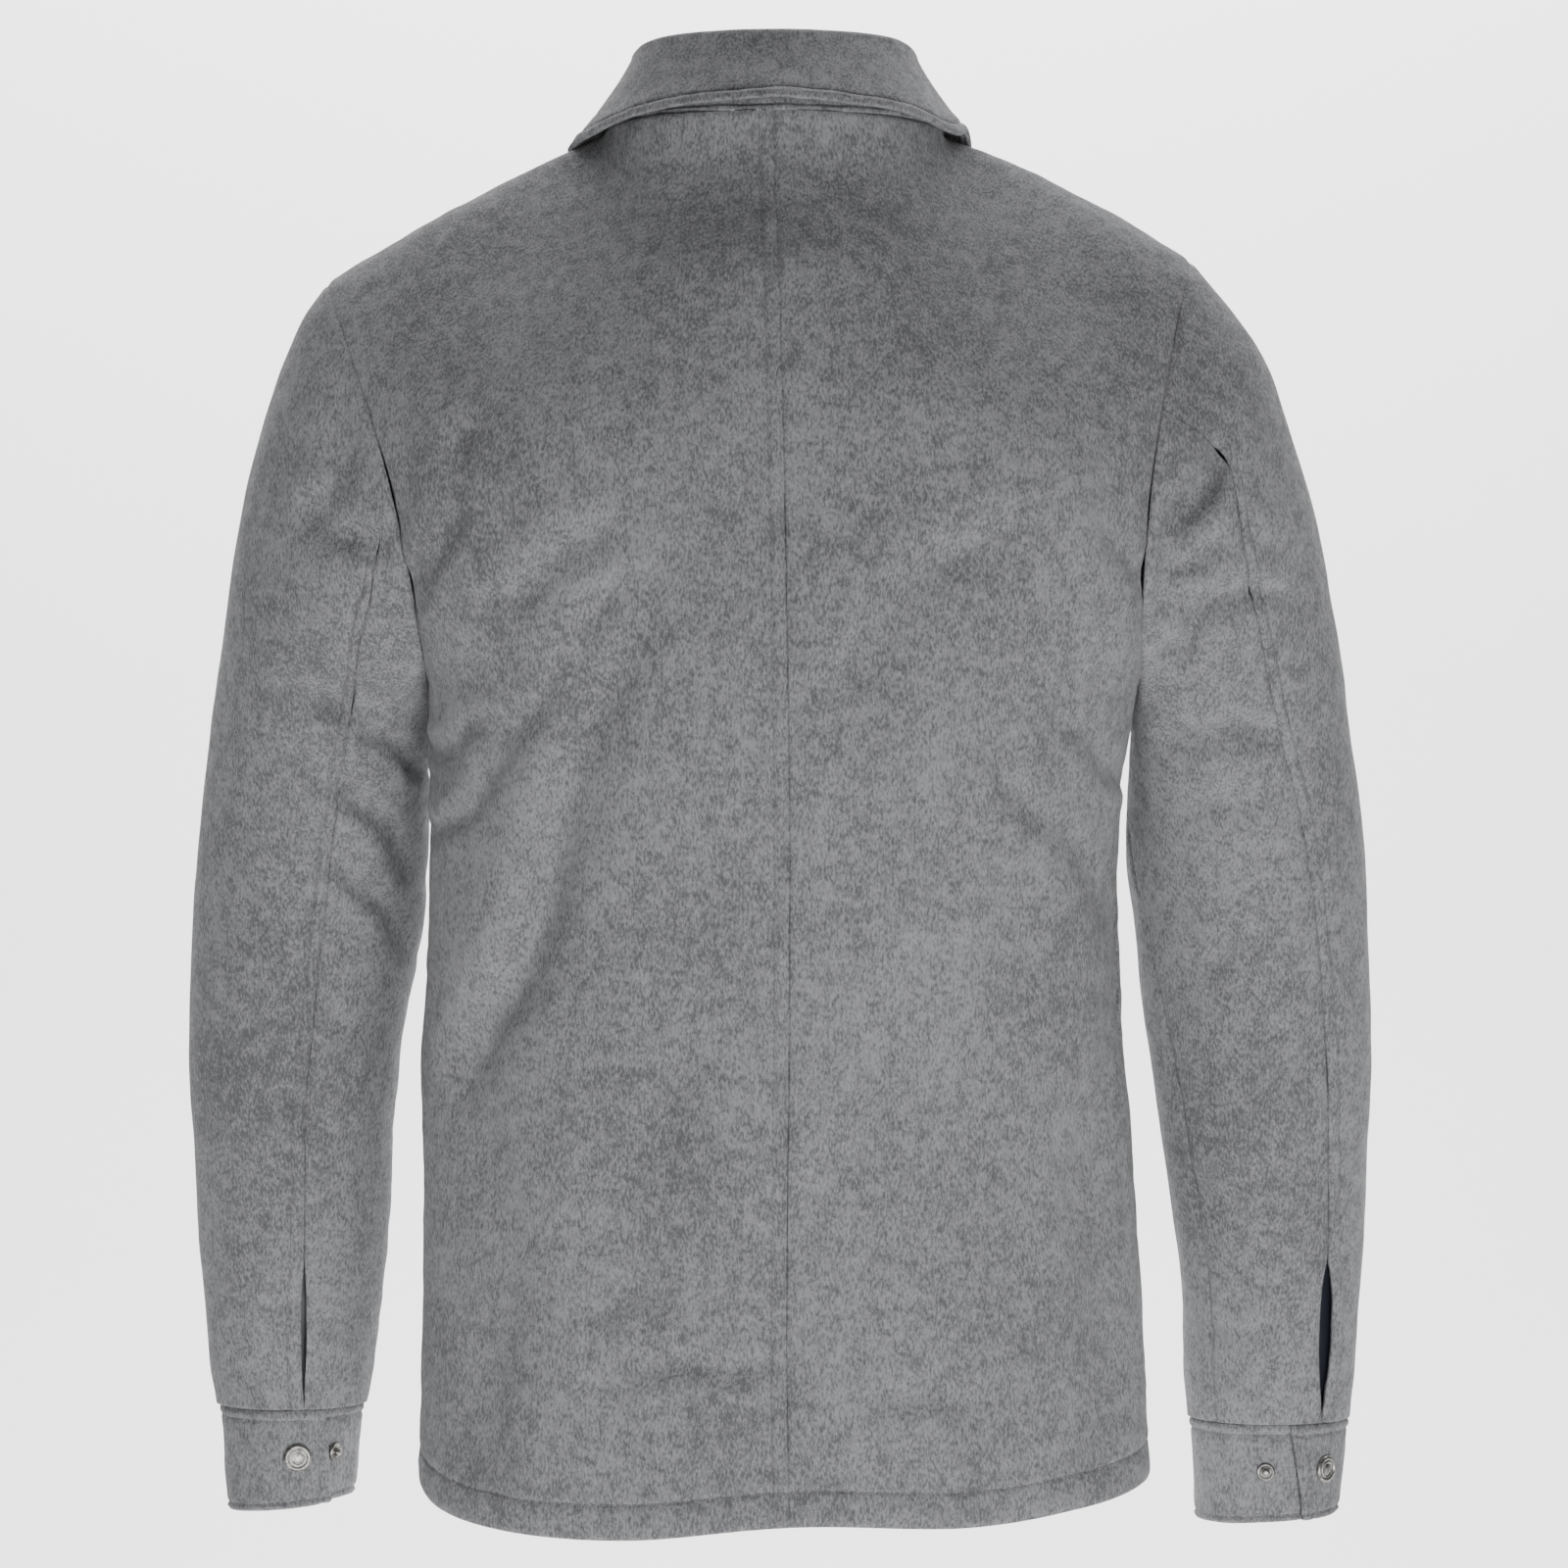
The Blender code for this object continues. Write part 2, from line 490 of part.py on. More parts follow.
def sew(panels):
    """Shared normals along sewn edges, and each edge drawn back by half a seam gap."""
    entries = []
    points = []
    for name, panel in panels.items():
        grid = panel["outer"]
        rows, columns = grid.shape[:2]
        for line in edge_lines(rows, columns):
            for place, inside, beside in line:
                tangent = unit(grid[beside] - grid[place])
                inward = grid[inside] - grid[place]
                inward = unit(inward - inward.dot(tangent) * tangent)
                entries.append((name, place, inward, panel["normals"][place], tangent))
                points.append(Vector(grid[place]))
    tree = KDTree(len(points))
    for number, point in enumerate(points):
        tree.insert(point, number)
    tree.balance()
    for name, panel in panels.items():
        grid = panel["outer"]
        rows, columns = grid.shape[:2]
        ways = {}
        normals = panel["normals"].copy()
        for line in edge_lines(rows, columns):
            for place, inside, beside in line:
                mine = grid[place]
                tangent = unit(grid[beside] - mine)
                inward = grid[inside] - mine
                inward = unit(inward - inward.dot(tangent) * tangent)
                near = [entries[found[1]] for found in tree.find_range(Vector(mine), SEWN_WITHIN)]
                others = [entry for entry in near if entry[0] != name]
                sewn = [entry for entry in others if abs(entry[4].dot(tangent)) > 0.8]
                if not sewn:
                    continue
                other = min(sewn, key=lambda entry: entry[2].dot(inward))
                ways.setdefault(place, []).append(unit(inward - other[2]))
                facing = {entry[0]: entry[3] for entry in others}
                shared = unit(sum(facing.values(), panel["normals"][place]))
                if shared.dot(panel["normals"][place]) > 0.6:
                    normals[place] = shared
        for place, apart in ways.items():
            total = sum(apart)
            meeting = 1.0 + apart[0].dot(apart[-1]) if len(apart) > 1 else 1.0
            grid[place] += SEAM_GAP / 2 * total / max(meeting, SHARPEST_CORNER)
        panel["inner"] = panel["outer"] - normals * panel["wall"]
        panel["normals"] = normals


def material(name, color, roughness, metallic=0.0):
    """A Principled material."""
    made = bpy.data.materials.new(name)
    made.use_nodes = True
    shader = made.node_tree.nodes["Principled BSDF"]
    shader.inputs["Base Color"].default_value = (*color, 1.0)
    shader.inputs["Roughness"].default_value = roughness
    shader.inputs["Metallic"].default_value = metallic
    made.diffuse_color = (*color, 1.0)
    return made


def finish_object(name, mesh, finish):
    """Put a finished mesh in the scene as a named object."""
    mesh.materials.append(finish)
    mesh.shade_smooth()
    mesh.set_sharp_from_angle(angle=math.radians(50))
    made = bpy.data.objects.new(name, mesh)
    bpy.context.collection.objects.link(made)
    return made


def cloth_object(name, outer, inner, finish):
    """A closed wall of cloth between a grid of outer points and one of inner points."""
    rows, columns = outer.shape[:2]
    bm = bmesh.new()
    bmesh.ops.create_grid(bm, x_segments=columns - 1, y_segments=rows - 1, size=1)
    number = bm.verts.layers.int.new("number")
    bm.verts.ensure_lookup_table()
    for vert, point in zip(bm.verts, outer.reshape(-1, 3)):
        vert.co = point
        vert[number] = vert.index
    walls = bmesh.ops.extrude_face_region(bm, geom=bm.faces[:], use_keep_orig=True)
    flat = inner.reshape(-1, 3)
    for item in walls["geom"]:
        if isinstance(item, bmesh.types.BMVert):
            item.co = flat[item[number]]
    bmesh.ops.recalc_face_normals(bm, faces=bm.faces[:])
    mesh = bpy.data.meshes.new(name)
    bm.to_mesh(mesh)
    bm.free()
    return finish_object(name, mesh, finish)


def turned_object(name, profile, point, axis, finish):
    """A round piece: a profile of (radius, height) turned about an axis through a point."""
    bm = bmesh.new()
    verts = [bm.verts.new((radius, 0.0, height)) for radius, height in profile]
    edges = [bm.edges.new(pair) for pair in zip(verts, verts[1:])]
    bmesh.ops.spin(bm, geom=verts + edges, cent=(0, 0, 0), axis=(0, 0, 1), angle=math.tau,
                   steps=SNAP_SIDES, use_merge=True)
    bmesh.ops.remove_doubles(bm, verts=bm.verts[:], dist=0.00001)
    turn = Vector((0, 0, 1)).rotation_difference(Vector(axis)).to_matrix().to_4x4()
    bmesh.ops.transform(bm, matrix=Matrix.Translation(Vector(point)) @ turn, verts=bm.verts[:])
    bmesh.ops.recalc_face_normals(bm, faces=bm.faces[:])
    mesh = bpy.data.meshes.new(name)
    bm.to_mesh(mesh)
    bm.free()
    return finish_object(name, mesh, finish)


CAP_RADIUS = SNAP_DIAMETER / 2
CAP_PROFILE = (
    (0.0, 0.0), (CAP_RADIUS, 0.0), (CAP_RADIUS, 0.0010), (CAP_RADIUS * 0.88, 0.0021),
    (CAP_RADIUS * 0.70, 0.0022), (CAP_RADIUS * 0.62, 0.0017), (0.0, 0.0021),
)
STUD_RADIUS = STUD_DIAMETER / 2
STUD_PROFILE = (
    (0.0, 0.0), (STUD_RADIUS, 0.0), (STUD_RADIUS, 0.0010), (STUD_RADIUS * 0.72, 0.0018),
    (STUD_RADIUS * 0.50, 0.0009), (STUD_RADIUS * 0.42, 0.0030), (STUD_RADIUS * 0.30, 0.0036),
    (0.0, 0.0038),
)


def collar_stand_point(angle, rise):
    """Outer point of the stand above the collar seam. rise goes from 0 to 1."""
    seam = neck_point(angle)
    turn = math.radians(angle)
    forward = (1 - math.cos(turn)) / 2
    height = STAND_HEIGHT + (STAND_FRONT_HEIGHT - STAND_HEIGHT) * forward**2
    lean = STAND_LEAN + (STAND_FRONT_LEAN - STAND_LEAN) * forward**2
    inward = unit(np.array([NECK_MIDDLE_X, NECK_MIDDLE_Y, 0.0]) - seam * np.array([1.0, 1.0, 0.0]))
    return seam + inward * lean * height * rise + np.array([0.0, 0.0, height * rise])


# The collar leaf's edge, measured from the collar seam: out from the neck, and up
LEAF_COLUMNS = ("angle", "out", "up")
LEAF_LEFT = (
    (0.0, 0.0085, 0.0068),
    (45.0, 0.0120, 0.0000),
    (68.0, 0.0155, -0.0068),
    (90.0, 0.0185, -0.0070),
    (125.0, 0.0270, -0.0340),
    (150.0, 0.0380, -0.0540),
    (164.0, 0.0370, -0.0500),
    (178.0, 0.0340, -0.0360),
)
LEAF_RIGHT = (
    (0.0, 0.0085, 0.0068),
    (45.0, 0.0115, 0.0002),
    (68.0, 0.0135, -0.0060),
    (90.0, 0.0145, 0.0005),
    (125.0, 0.0270, -0.0310),
    (150.0, 0.0380, -0.0540),
    (164.0, 0.0370, -0.0500),
    (178.0, 0.0340, -0.0360),
)
ROLL_STEPS = 4
FALL_STEPS = 5


def collar_leaf_row(angle):
    """Outer and inner points of the leaf at one angle, from inside the neck, over the roll, to
    the edge. Inner points are given for the roll alone."""
    table = LEAF_LEFT if angle < 0 else LEAF_RIGHT
    angles = column(table, LEAF_COLUMNS, "angle")
    out = through(angles, column(table, LEAF_COLUMNS, "out"), abs(angle))
    up = through(angles, column(table, LEAF_COLUMNS, "up"), abs(angle))
    seam = neck_point(angle)
    outward = unit((seam - np.array([NECK_MIDDLE_X, NECK_MIDDLE_Y, 0.0])) * np.array([1.0, 1.0, 0.0]))
    stand_top = collar_stand_point(angle, 1.0)
    above = SEAM_GAP + ROLL_FRONT_CLEAR * (1 - math.cos(math.radians(angle))) / 2
    centre = stand_top + outward * (FOLD_RADIUS - WALL) + np.array([0.0, 0.0, above])
    row = []
    roll_inside = []
    for i in range(ROLL_STEPS + 1):
        turn = math.pi * i / ROLL_STEPS
        offset = -outward * math.cos(turn) + np.array([0.0, 0.0, math.sin(turn)])
        row.append(centre + offset * FOLD_RADIUS)
        roll_inside.append(centre + offset * (FOLD_RADIUS - WALL))
    edge = seam + outward * out + np.array([0.0, 0.0, up])
    start = row[-1]
    bend = start * 0.55 + edge * 0.45
    bend[:2] = (start * 0.70 + edge * 0.30)[:2]
    for i in range(1, FALL_STEPS + 1):
        t = i / FALL_STEPS
        row.append(start * (1 - t)**2 + bend * 2 * t * (1 - t) + edge * t**2)
    return row, roll_inside


def surface_tree(panels):
    """The outer faces of some panels, to lay other pieces on."""
    points = []
    faces = []
    for panel in panels:
        grid = panel["outer"]
        rows, columns = grid.shape[:2]
        start = len(points)
        points.extend(Vector(point) for point in grid.reshape(-1, 3))
        for i in range(rows - 1):
            for j in range(columns - 1):
                first = start + i * columns + j
                face = (first, first + 1, first + columns + 1, first + columns)
                faces.append(face if panel["facing"] > 0 else face[::-1])
    return BVHTree.FromPolygons(points, faces)


def lift_clear(point, tree, clearance):
    """Move a point out from the cloth below it until it is clear of it. A point beside the cloth,
    past its edge, moves less."""
    near, normal, _, _ = tree.find_nearest(Vector(point))
    near = np.array(near)
    normal = np.array(normal)
    height = (point - near).dot(normal)
    aside = np.linalg.norm(point - near - normal * height)
    if height < clearance:
        point = point + normal * (clearance - height) * (1 - smooth(aside / LAY_BESIDE))
    return point


def lay_leaf(leaf, body_tree):
    """Rest the fall of the leaf on the panels."""
    for row in leaf:
        for i in range(ROLL_STEPS + 1, len(row)):
            row[i] = lift_clear(row[i], body_tree, WALL + LAY_CLEAR)


def cuff_point(side, angle, drop, depth=0.0):
    """Point of a cuff: angle round the wrist, drop from its top (0) to its bottom (1)."""
    cuff = CUFFS[side]
    centre = np.array(cuff["top"]) * (1 - drop) + np.array(cuff["bottom"]) * drop
    half = np.array(cuff["top_half"]) * (1 - drop) + np.array(cuff["bottom_half"]) * drop
    outward = -1.0 if side == "left" else 1.0
    turn = math.radians(angle)
    normal = np.array([outward * math.cos(turn), math.sin(turn), 0.0])
    point = centre + np.array([outward * half[0] * math.cos(turn), half[1] * math.sin(turn), 0.0])
    point[2] += cuff["slant"] * math.cos(turn) * drop
    return point - normal * depth


def cuff_grid(side):
    """Outer points of a cuff: from its flap end round the wrist to its tucked end."""
    cuff = CUFFS[side]
    last = cuff["tuck"] + 360.0
    grid = []
    for j in range(CUFF_ROWS + 1):
        drop = j / CUFF_ROWS
        first = cuff["flap"] - cuff["flap_slant"] * (drop - 0.5)
        row = []
        for i in range(CUFF_COLUMNS + 1):
            angle = first + (last - first) * i / CUFF_COLUMNS
            tucked = smooth((CUFF_TUCK_STARTS - (last - angle)) / CUFF_TUCK_TAKES)
            tuck = (CUFF_WALL + CUFF_TUCK) * tucked
            row.append(cuff_point(side, angle, drop, tuck))
        grid.append(row)
    return np.array(grid)


def cuff_snap(name, profile, side, angle, finish, depth=0.0):
    """A snap half on a cuff, standing on its outer face."""
    middle = CUFF_SNAP_DROP
    point = cuff_point(side, angle, middle, depth)
    around = cuff_point(side, angle + 3, middle) - cuff_point(side, angle - 3, middle)
    down = cuff_point(side, angle, middle + 0.2) - cuff_point(side, angle, middle - 0.2)
    normal = unit(np.cross(around, down))
    normal = normal * math.copysign(1.0, normal.dot(point - cuff_point(side, angle + 180, middle)))
    turned_object(name, profile, point + normal * SEAM_GAP, normal, finish)


def lining_grid(sign):
    """Outer points of the sleeve lining where the vent shows it."""
    side = "left" if sign < 0 else "right"
    table = LEFT_SLEEVE if sign < 0 else RIGHT_SLEEVE
    last = len(table) - 1.0
    grid = []
    first, final = LINING_SECTIONS
    for place in np.linspace(last - first, last - final, 9):
        back, _ = seam_angles(table, place)
        row = []
        for offset in np.linspace(-LINING_HALF_ANGLE, LINING_HALF_ANGLE, 9):
            point = sleeve_at(table, place, back + offset)
            opposite = sleeve_at(table, place, back + offset + 180.0)
            row.append(point + unit(opposite - point) * (WALL + LINING_INSET))
        grid.append(row)
    return np.array(grid)


def build():
    """Make every piece of the jacket."""
    for old in list(bpy.data.objects):
        bpy.data.objects.remove(old, do_unlink=True)
    wool = material("wool", (0.23, 0.23, 0.24), 0.95)
    lining = material("lining", (0.02, 0.022, 0.035), 0.45)
    metal = material("snap_metal", (0.32, 0.31, 0.29), 0.35, 1.0)

    panels = {}
    for sign, side in ((-1, "left"), (1, "right")):
        for half in ("back", "front"):
            facing = sign if half == "back" else -sign
            grid = panel_grid(sign, half)
            panels[f"{half}_{side}"] = {"outer": grid, "facing": facing, "wall": WALL,
                                        "normals": grid_normals(grid, facing)}
        for piece in ("upper", "under"):
            grid, normals = sleeve_grid(sign, piece)
            panels[f"{piece}_sleeve_{side}"] = {"outer": grid, "normals": normals, "wall": WALL}
    angles = [-COLLAR_END_ANGLE] + neck_angles("front", -1)[1:-1] + neck_angles("back", -1)[::-1]
    angles += neck_angles("back", 1)[1:] + neck_angles("front", 1)[1:-1][::-1] + [COLLAR_END_ANGLE]
    stand = np.array([[collar_stand_point(angle, rise) for angle in angles]
                      for rise in (0.0, 0.35, 0.70, 1.0)])
    for point, angle in zip(stand[0], angles):
        first_lifted = 110.0 if angle > 0 else 150.0
        point[2] += FRONT_STAND_CLEAR * smooth((abs(angle) - first_lifted) / 20.0)
    panels["collar_stand"] = {"outer": stand, "wall": WALL, "normals": grid_normals(stand, 1)}
    sew(panels)
    for wall in ("outer", "inner"):
        panels["collar_stand"][wall][0, :, 2] += NECK_SEAM_CLEAR
    for name, panel in panels.items():
        cloth_object(name, panel["outer"], panel["inner"], wool)

    body_tree = surface_tree([panels[name] for name in
                              ("back_left", "back_right", "front_left", "front_right")])
    leaf_angles = np.linspace(-COLLAR_END_ANGLE, COLLAR_END_ANGLE, LEAF_ROWS)
    leaf = np.array([collar_leaf_row(angle)[0] for angle in leaf_angles])
    lay_leaf(leaf, body_tree)
    leaf_inside = leaf - grid_normals(leaf, 1) * WALL
    leaf_inside[:, :ROLL_STEPS + 1] = [collar_leaf_row(angle)[1] for angle in leaf_angles]
    cloth_object("collar_leaf", leaf, leaf_inside, wool)

    for sign, side in ((-1, "left"), (1, "right")):
        cuff = cuff_grid(side)
        cuff_normals = grid_normals(cuff, -sign)
        cloth_object(f"cuff_{side}", cuff, cuff - cuff_normals * CUFF_WALL, wool)
        inside = lining_grid(sign)
        lining_normals = grid_normals(inside, -sign)
        cloth_object(f"sleeve_lining_{side}", inside, inside - lining_normals * LINING_WALL, lining)
        cuff_snap(f"cuff_cap_{side}", CAP_PROFILE, side, CUFFS[side]["cap"], metal)
        cuff_snap(f"cuff_stud_{side}", STUD_PROFILE, side, CUFFS[side]["stud"], metal,
                  CUFF_WALL + CUFF_TUCK)

    front_tree = surface_tree([panels["front_left"]])
    for i in range(FRONT_SNAPS):
        t = i / (FRONT_SNAPS - 1)
        height = FIRST_SNAP_HEIGHT + (LAST_SNAP_HEIGHT - FIRST_SNAP_HEIGHT) * t
        start = Vector((body_at(height)["seam"], 0.3, height))
        point, normal, _, _ = front_tree.ray_cast(start, Vector((0, -1, 0)))
        turned_object(f"front_cap_{i + 1}", CAP_PROFILE, point + normal * 3 * SEAM_GAP, normal, metal)


build()
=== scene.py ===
import math

import bmesh
import bpy
import numpy as np
from mathutils import Matrix, Vector, noise
from mathutils.bvhtree import BVHTree


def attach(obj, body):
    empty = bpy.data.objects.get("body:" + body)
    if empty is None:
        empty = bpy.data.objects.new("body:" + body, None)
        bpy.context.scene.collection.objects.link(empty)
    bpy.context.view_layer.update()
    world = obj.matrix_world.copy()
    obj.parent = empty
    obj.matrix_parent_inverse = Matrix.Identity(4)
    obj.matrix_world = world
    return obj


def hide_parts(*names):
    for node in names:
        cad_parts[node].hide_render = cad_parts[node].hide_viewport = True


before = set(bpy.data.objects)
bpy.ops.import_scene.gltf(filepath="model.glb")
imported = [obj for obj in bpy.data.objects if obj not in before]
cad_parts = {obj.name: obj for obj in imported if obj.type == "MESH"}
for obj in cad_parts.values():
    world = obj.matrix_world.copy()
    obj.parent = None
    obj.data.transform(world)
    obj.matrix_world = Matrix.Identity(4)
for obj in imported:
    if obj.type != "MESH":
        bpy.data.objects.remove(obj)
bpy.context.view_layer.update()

# The back is two panels of heavy brushed wool joined by a seam down the middle, pressed to the left
# and topstitched there. Each panel is cut flat, and hangs from the shoulders in long soft folds.
WALL = 0.0025
SEAM_GAP = 0.0003
TOPSTITCH = 0.0080
HEM_DEPTH = 0.0180
NECK_MIDDLE_X = -0.005
NECK_MIDDLE_Y = -0.003
NECK_HALF_WIDTH = 0.090
NECK_HALF_DEPTH = 0.075
NECK_FRONT_DROP = 0.072
SHOULDER_BULGE = 0.005
ARMPIT_HEIGHT = -0.292
ARMPIT_EASE = 0.0006
ARMPIT_EASE_ANGLE = 20.0
FRONT_LAP = 0.022
LAP_DROP = 0.003
LAP_RAMP = 0.035
FRONT_TUCK = 0.0065
FINER = 3
ARMHOLE_COLUMNS = 12 * FINER
PANEL_COLUMNS = 12 * FINER
NECK_COLUMNS = 5 * FINER
LOWER_ROWS = 13 * FINER
FOLD_FADE = 2.5 * FINER
NECK_SOFTENING = 20 * FINER**2

# Sections of the body. left, right: side seams. back, front: middle of the panels.
# side: how far back the side seams lie. seam: centre back seam.
BODY_COLUMNS = ("height", "left", "right", "back", "front", "side", "seam")
BODY = (
    (-0.735, -0.1925, 0.1940, -0.133, 0.126, -0.020, 0.0030),
    (-0.657, -0.1900, 0.1904, -0.128, 0.124, -0.020, 0.0015),
    (-0.554, -0.1894, 0.1842, -0.123, 0.122, -0.020, 0.0020),
    (-0.471, -0.1878, 0.1790, -0.123, 0.124, -0.020, 0.0028),
    (-0.389, -0.1868, 0.1752, -0.128, 0.128, -0.020, 0.0030),
    (-0.330, -0.1864, 0.1800, -0.132, 0.129, -0.020, 0.0026),
    (-0.292, -0.1868, 0.1865, -0.133, 0.128, -0.020, 0.0020),
    (-0.200, -0.1900, 0.1900, -0.129, 0.118, -0.020, 0.0005),
    (-0.120, -0.2000, 0.2000, -0.118, 0.097, -0.020, -0.0015),
    (-0.072, -0.2000, 0.2000, -0.106, 0.072, -0.020, -0.0027),
    (-0.035, -0.2000, 0.2000, -0.093, 0.060, -0.020, -0.0040),
    (0.000, -0.2000, 0.2000, -0.078, 0.050, -0.020, -0.0050),
)

# Hem heights, from the left side seam (-1) to the right one (1)
HEM_COLUMNS = ("across", "back", "front")
HEM = (
    (-1.00, -0.7115, -0.7115),
    (-0.75, -0.7225, -0.7150),
    (-0.50, -0.7295, -0.7185),
    (-0.25, -0.7300, -0.7210),
    (0.00, -0.7225, -0.7220),
    (0.30, -0.7240, -0.7210),
    (0.55, -0.7185, -0.7170),
    (0.80, -0.7125, -0.7115),
    (1.00, -0.7085, -0.7085),
)

# Sections of the sleeves, from the armhole down. Each ring runs from an outer to an inner point.
# depth: half its depth. bow: how far its middle is pulled to the body. seam_at: where the back seam
# lies, from the outer edge (0) to the inner one (1). under: how far round the under sleeve goes.
SLEEVE_COLUMNS = ("outer_x", "outer_y", "outer_z", "inner_x", "inner_y", "inner_z",
                  "depth", "bow", "seam_at", "under")
LEFT_SLEEVE = (
    (-0.2418, -0.0050, -0.0834, -0.1868, -0.0200, -0.2920, 0.062, 0.009, 0.500, 135),
    (-0.2525, -0.0040, -0.0990, -0.1872, -0.0150, -0.2950, 0.063, 0.005, 0.590, 133),
    (-0.2630, -0.0020, -0.1198, -0.1873, -0.0090, -0.2985, 0.064, 0.002, 0.650, 130),
    (-0.2720, 0.0010, -0.1424, -0.1875, -0.0020, -0.3030, 0.065, 0.000, 0.680, 127),
    (-0.2805, 0.0050, -0.1722, -0.1878, 0.0070, -0.3085, 0.066, 0.000, 0.672, 123),
    (-0.2885, 0.0110, -0.2052, -0.1880, 0.0170, -0.3150, 0.067, 0.000, 0.667, 119),
    (-0.2955, 0.0190, -0.2412, -0.1884, 0.0260, -0.3255, 0.066, 0.000, 0.665, 115),
    (-0.3020, 0.0290, -0.2775, -0.1894, 0.0360, -0.3425, 0.064, 0.000, 0.650, 111),
    (-0.3083, 0.0400, -0.3165, -0.1912, 0.0450, -0.3660, 0.062, 0.000, 0.638, 106),
    (-0.3145, 0.0490, -0.3608, -0.1930, 0.0530, -0.3930, 0.059, 0.000, 0.620, 101),
    (-0.3198, 0.0570, -0.4114, -0.1957, 0.0590, -0.4250, 0.056, 0.000, 0.610, 96),
    (-0.3230, 0.0630, -0.4650, -0.2050, 0.0640, -0.4700, 0.054, 0.000, 0.620, 92),
    (-0.3232, 0.0690, -0.5190, -0.2112, 0.0690, -0.5180, 0.052, 0.000, 0.606, 88),
    (-0.3206, 0.0750, -0.5730, -0.2146, 0.0750, -0.5700, 0.050, 0.000, 0.604, 85),
    (-0.3170, 0.0810, -0.6275, -0.2192, 0.0810, -0.6230, 0.047, 0.000, 0.604, 83),
    (-0.3138, 0.0850, -0.6650, -0.2240, 0.0850, -0.6600, 0.044, 0.000, 0.612, 82),
    (-0.3110, 0.0870, -0.6857, -0.2285, 0.0870, -0.6857, 0.042, 0.000, 0.630, 82),
)
RIGHT_SLEEVE = (
    (0.2148, -0.0050, -0.0710, 0.1865, -0.0200, -0.2920, 0.062, 0.009, 0.3706, 135),
    (0.2272, -0.0040, -0.0852, 0.1866, -0.0150, -0.2948, 0.063, 0.006, 0.360, 133),
    (0.2413, -0.0020, -0.1020, 0.1865, -0.0090, -0.2982, 0.064, 0.003, 0.345, 130),
    (0.2556, 0.0010, -0.1240, 0.1864, -0.0020, -0.3025, 0.065, 0.000, 0.335, 127),
    (0.2667, 0.0050, -0.1528, 0.1862, 0.0070, -0.3080, 0.066, 0.000, 0.365, 123),
    (0.2772, 0.0110, -0.1842, 0.1860, 0.0170, -0.3150, 0.067, 0.000, 0.390, 119),
    (0.2860, 0.0190, -0.2182, 0.1856, 0.0260, -0.3255, 0.066, 0.000, 0.385, 115),
    (0.2945, 0.0290, -0.2550, 0.1852, 0.0360, -0.3425, 0.064, 0.000, 0.370, 111),
    (0.3020, 0.0400, -0.2995, 0.1850, 0.0450, -0.3660, 0.062, 0.000, 0.340, 106),
    (0.3095, 0.0490, -0.3486, 0.1860, 0.0530, -0.3930, 0.059, 0.000, 0.290, 101),
    (0.3152, 0.0570, -0.4010, 0.1898, 0.0590, -0.4220, 0.056, 0.000, 0.262, 96),
    (0.3185, 0.0630, -0.4595, 0.1944, 0.0640, -0.4620, 0.054, 0.000, 0.242, 92),
    (0.3192, 0.0690, -0.5135, 0.2023, 0.0690, -0.5130, 0.052, 0.000, 0.230, 88),
    (0.3178, 0.0750, -0.5675, 0.2103, 0.0750, -0.5675, 0.050, 0.000, 0.224, 85),
    (0.3148, 0.0810, -0.6240, 0.2177, 0.0810, -0.6240, 0.047, 0.000, 0.216, 83),
    (0.3126, 0.0850, -0.6675, 0.2196, 0.0850, -0.6675, 0.045, 0.000, 0.216, 82),
    (0.3100, 0.0870, -0.6935, 0.2212, 0.0870, -0.6935, 0.043, 0.000, 0.200, 82),
)

# Largest folds. Each is a soft line from x, z to x, z with a width and a depth, negative for a trough.
BACK_FOLDS = (
    (-0.092, -0.325, -0.140, -0.450, 0.017, -0.0060),
    (-0.125, -0.320, -0.160, -0.430, 0.022, 0.0035),
    (-0.088, -0.265, -0.128, -0.318, 0.016, -0.0035),
    (-0.096, -0.225, -0.132, -0.252, 0.015, -0.0025),
    (0.096, -0.230, 0.036, -0.280, 0.020, -0.0025),
    (0.168, -0.460, 0.150, -0.535, 0.017, -0.0030),
    (-0.160, -0.470, -0.172, -0.680, 0.020, -0.0045),
    (-0.120, -0.480, -0.128, -0.690, 0.028, 0.0035),
    (0.165, -0.520, 0.172, -0.670, 0.022, -0.0035),
    (-0.150, -0.090, -0.200, -0.115, 0.026, -0.0040),
    (0.160, -0.100, 0.176, -0.140, 0.020, -0.0030),
)
FRONT_FOLDS = (
    (0.090, -0.310, 0.138, -0.430, 0.018, -0.0055),
    (0.122, -0.300, 0.160, -0.410, 0.022, 0.0030),
    (-0.085, -0.290, -0.135, -0.395, 0.018, -0.0045),
    (-0.160, -0.480, -0.168, -0.660, 0.022, -0.0035),
    (0.160, -0.500, 0.170, -0.680, 0.022, -0.0040),
    (0.118, -0.520, 0.125, -0.690, 0.026, 0.0030),
    (0.140, -0.120, 0.185, -0.200, 0.022, -0.0035),
    (-0.150, -0.125, -0.190, -0.210, 0.022, -0.0035),
)

def column(table, names, name):
    """One named column of a table."""
    place = names.index(name)
    return np.array([row[place] for row in table])


def through(keys, values, at):
    """A smooth curve through (keys, values), read at one place or an array of places."""
    slopes = np.gradient(values, keys)
    place = np.clip(np.searchsorted(keys, at) - 1, 0, len(keys) - 2)
    span = keys[place + 1] - keys[place]
    t = np.clip((at - keys[place]) / span, 0.0, 1.0)
    rise = values[place + 1] - values[place]
    start = slopes[place] * span
    end = slopes[place + 1] * span
    return (values[place] + t * start + t**2 * (3 * rise - 2 * start - end)
            + t**3 * (start + end - 2 * rise))


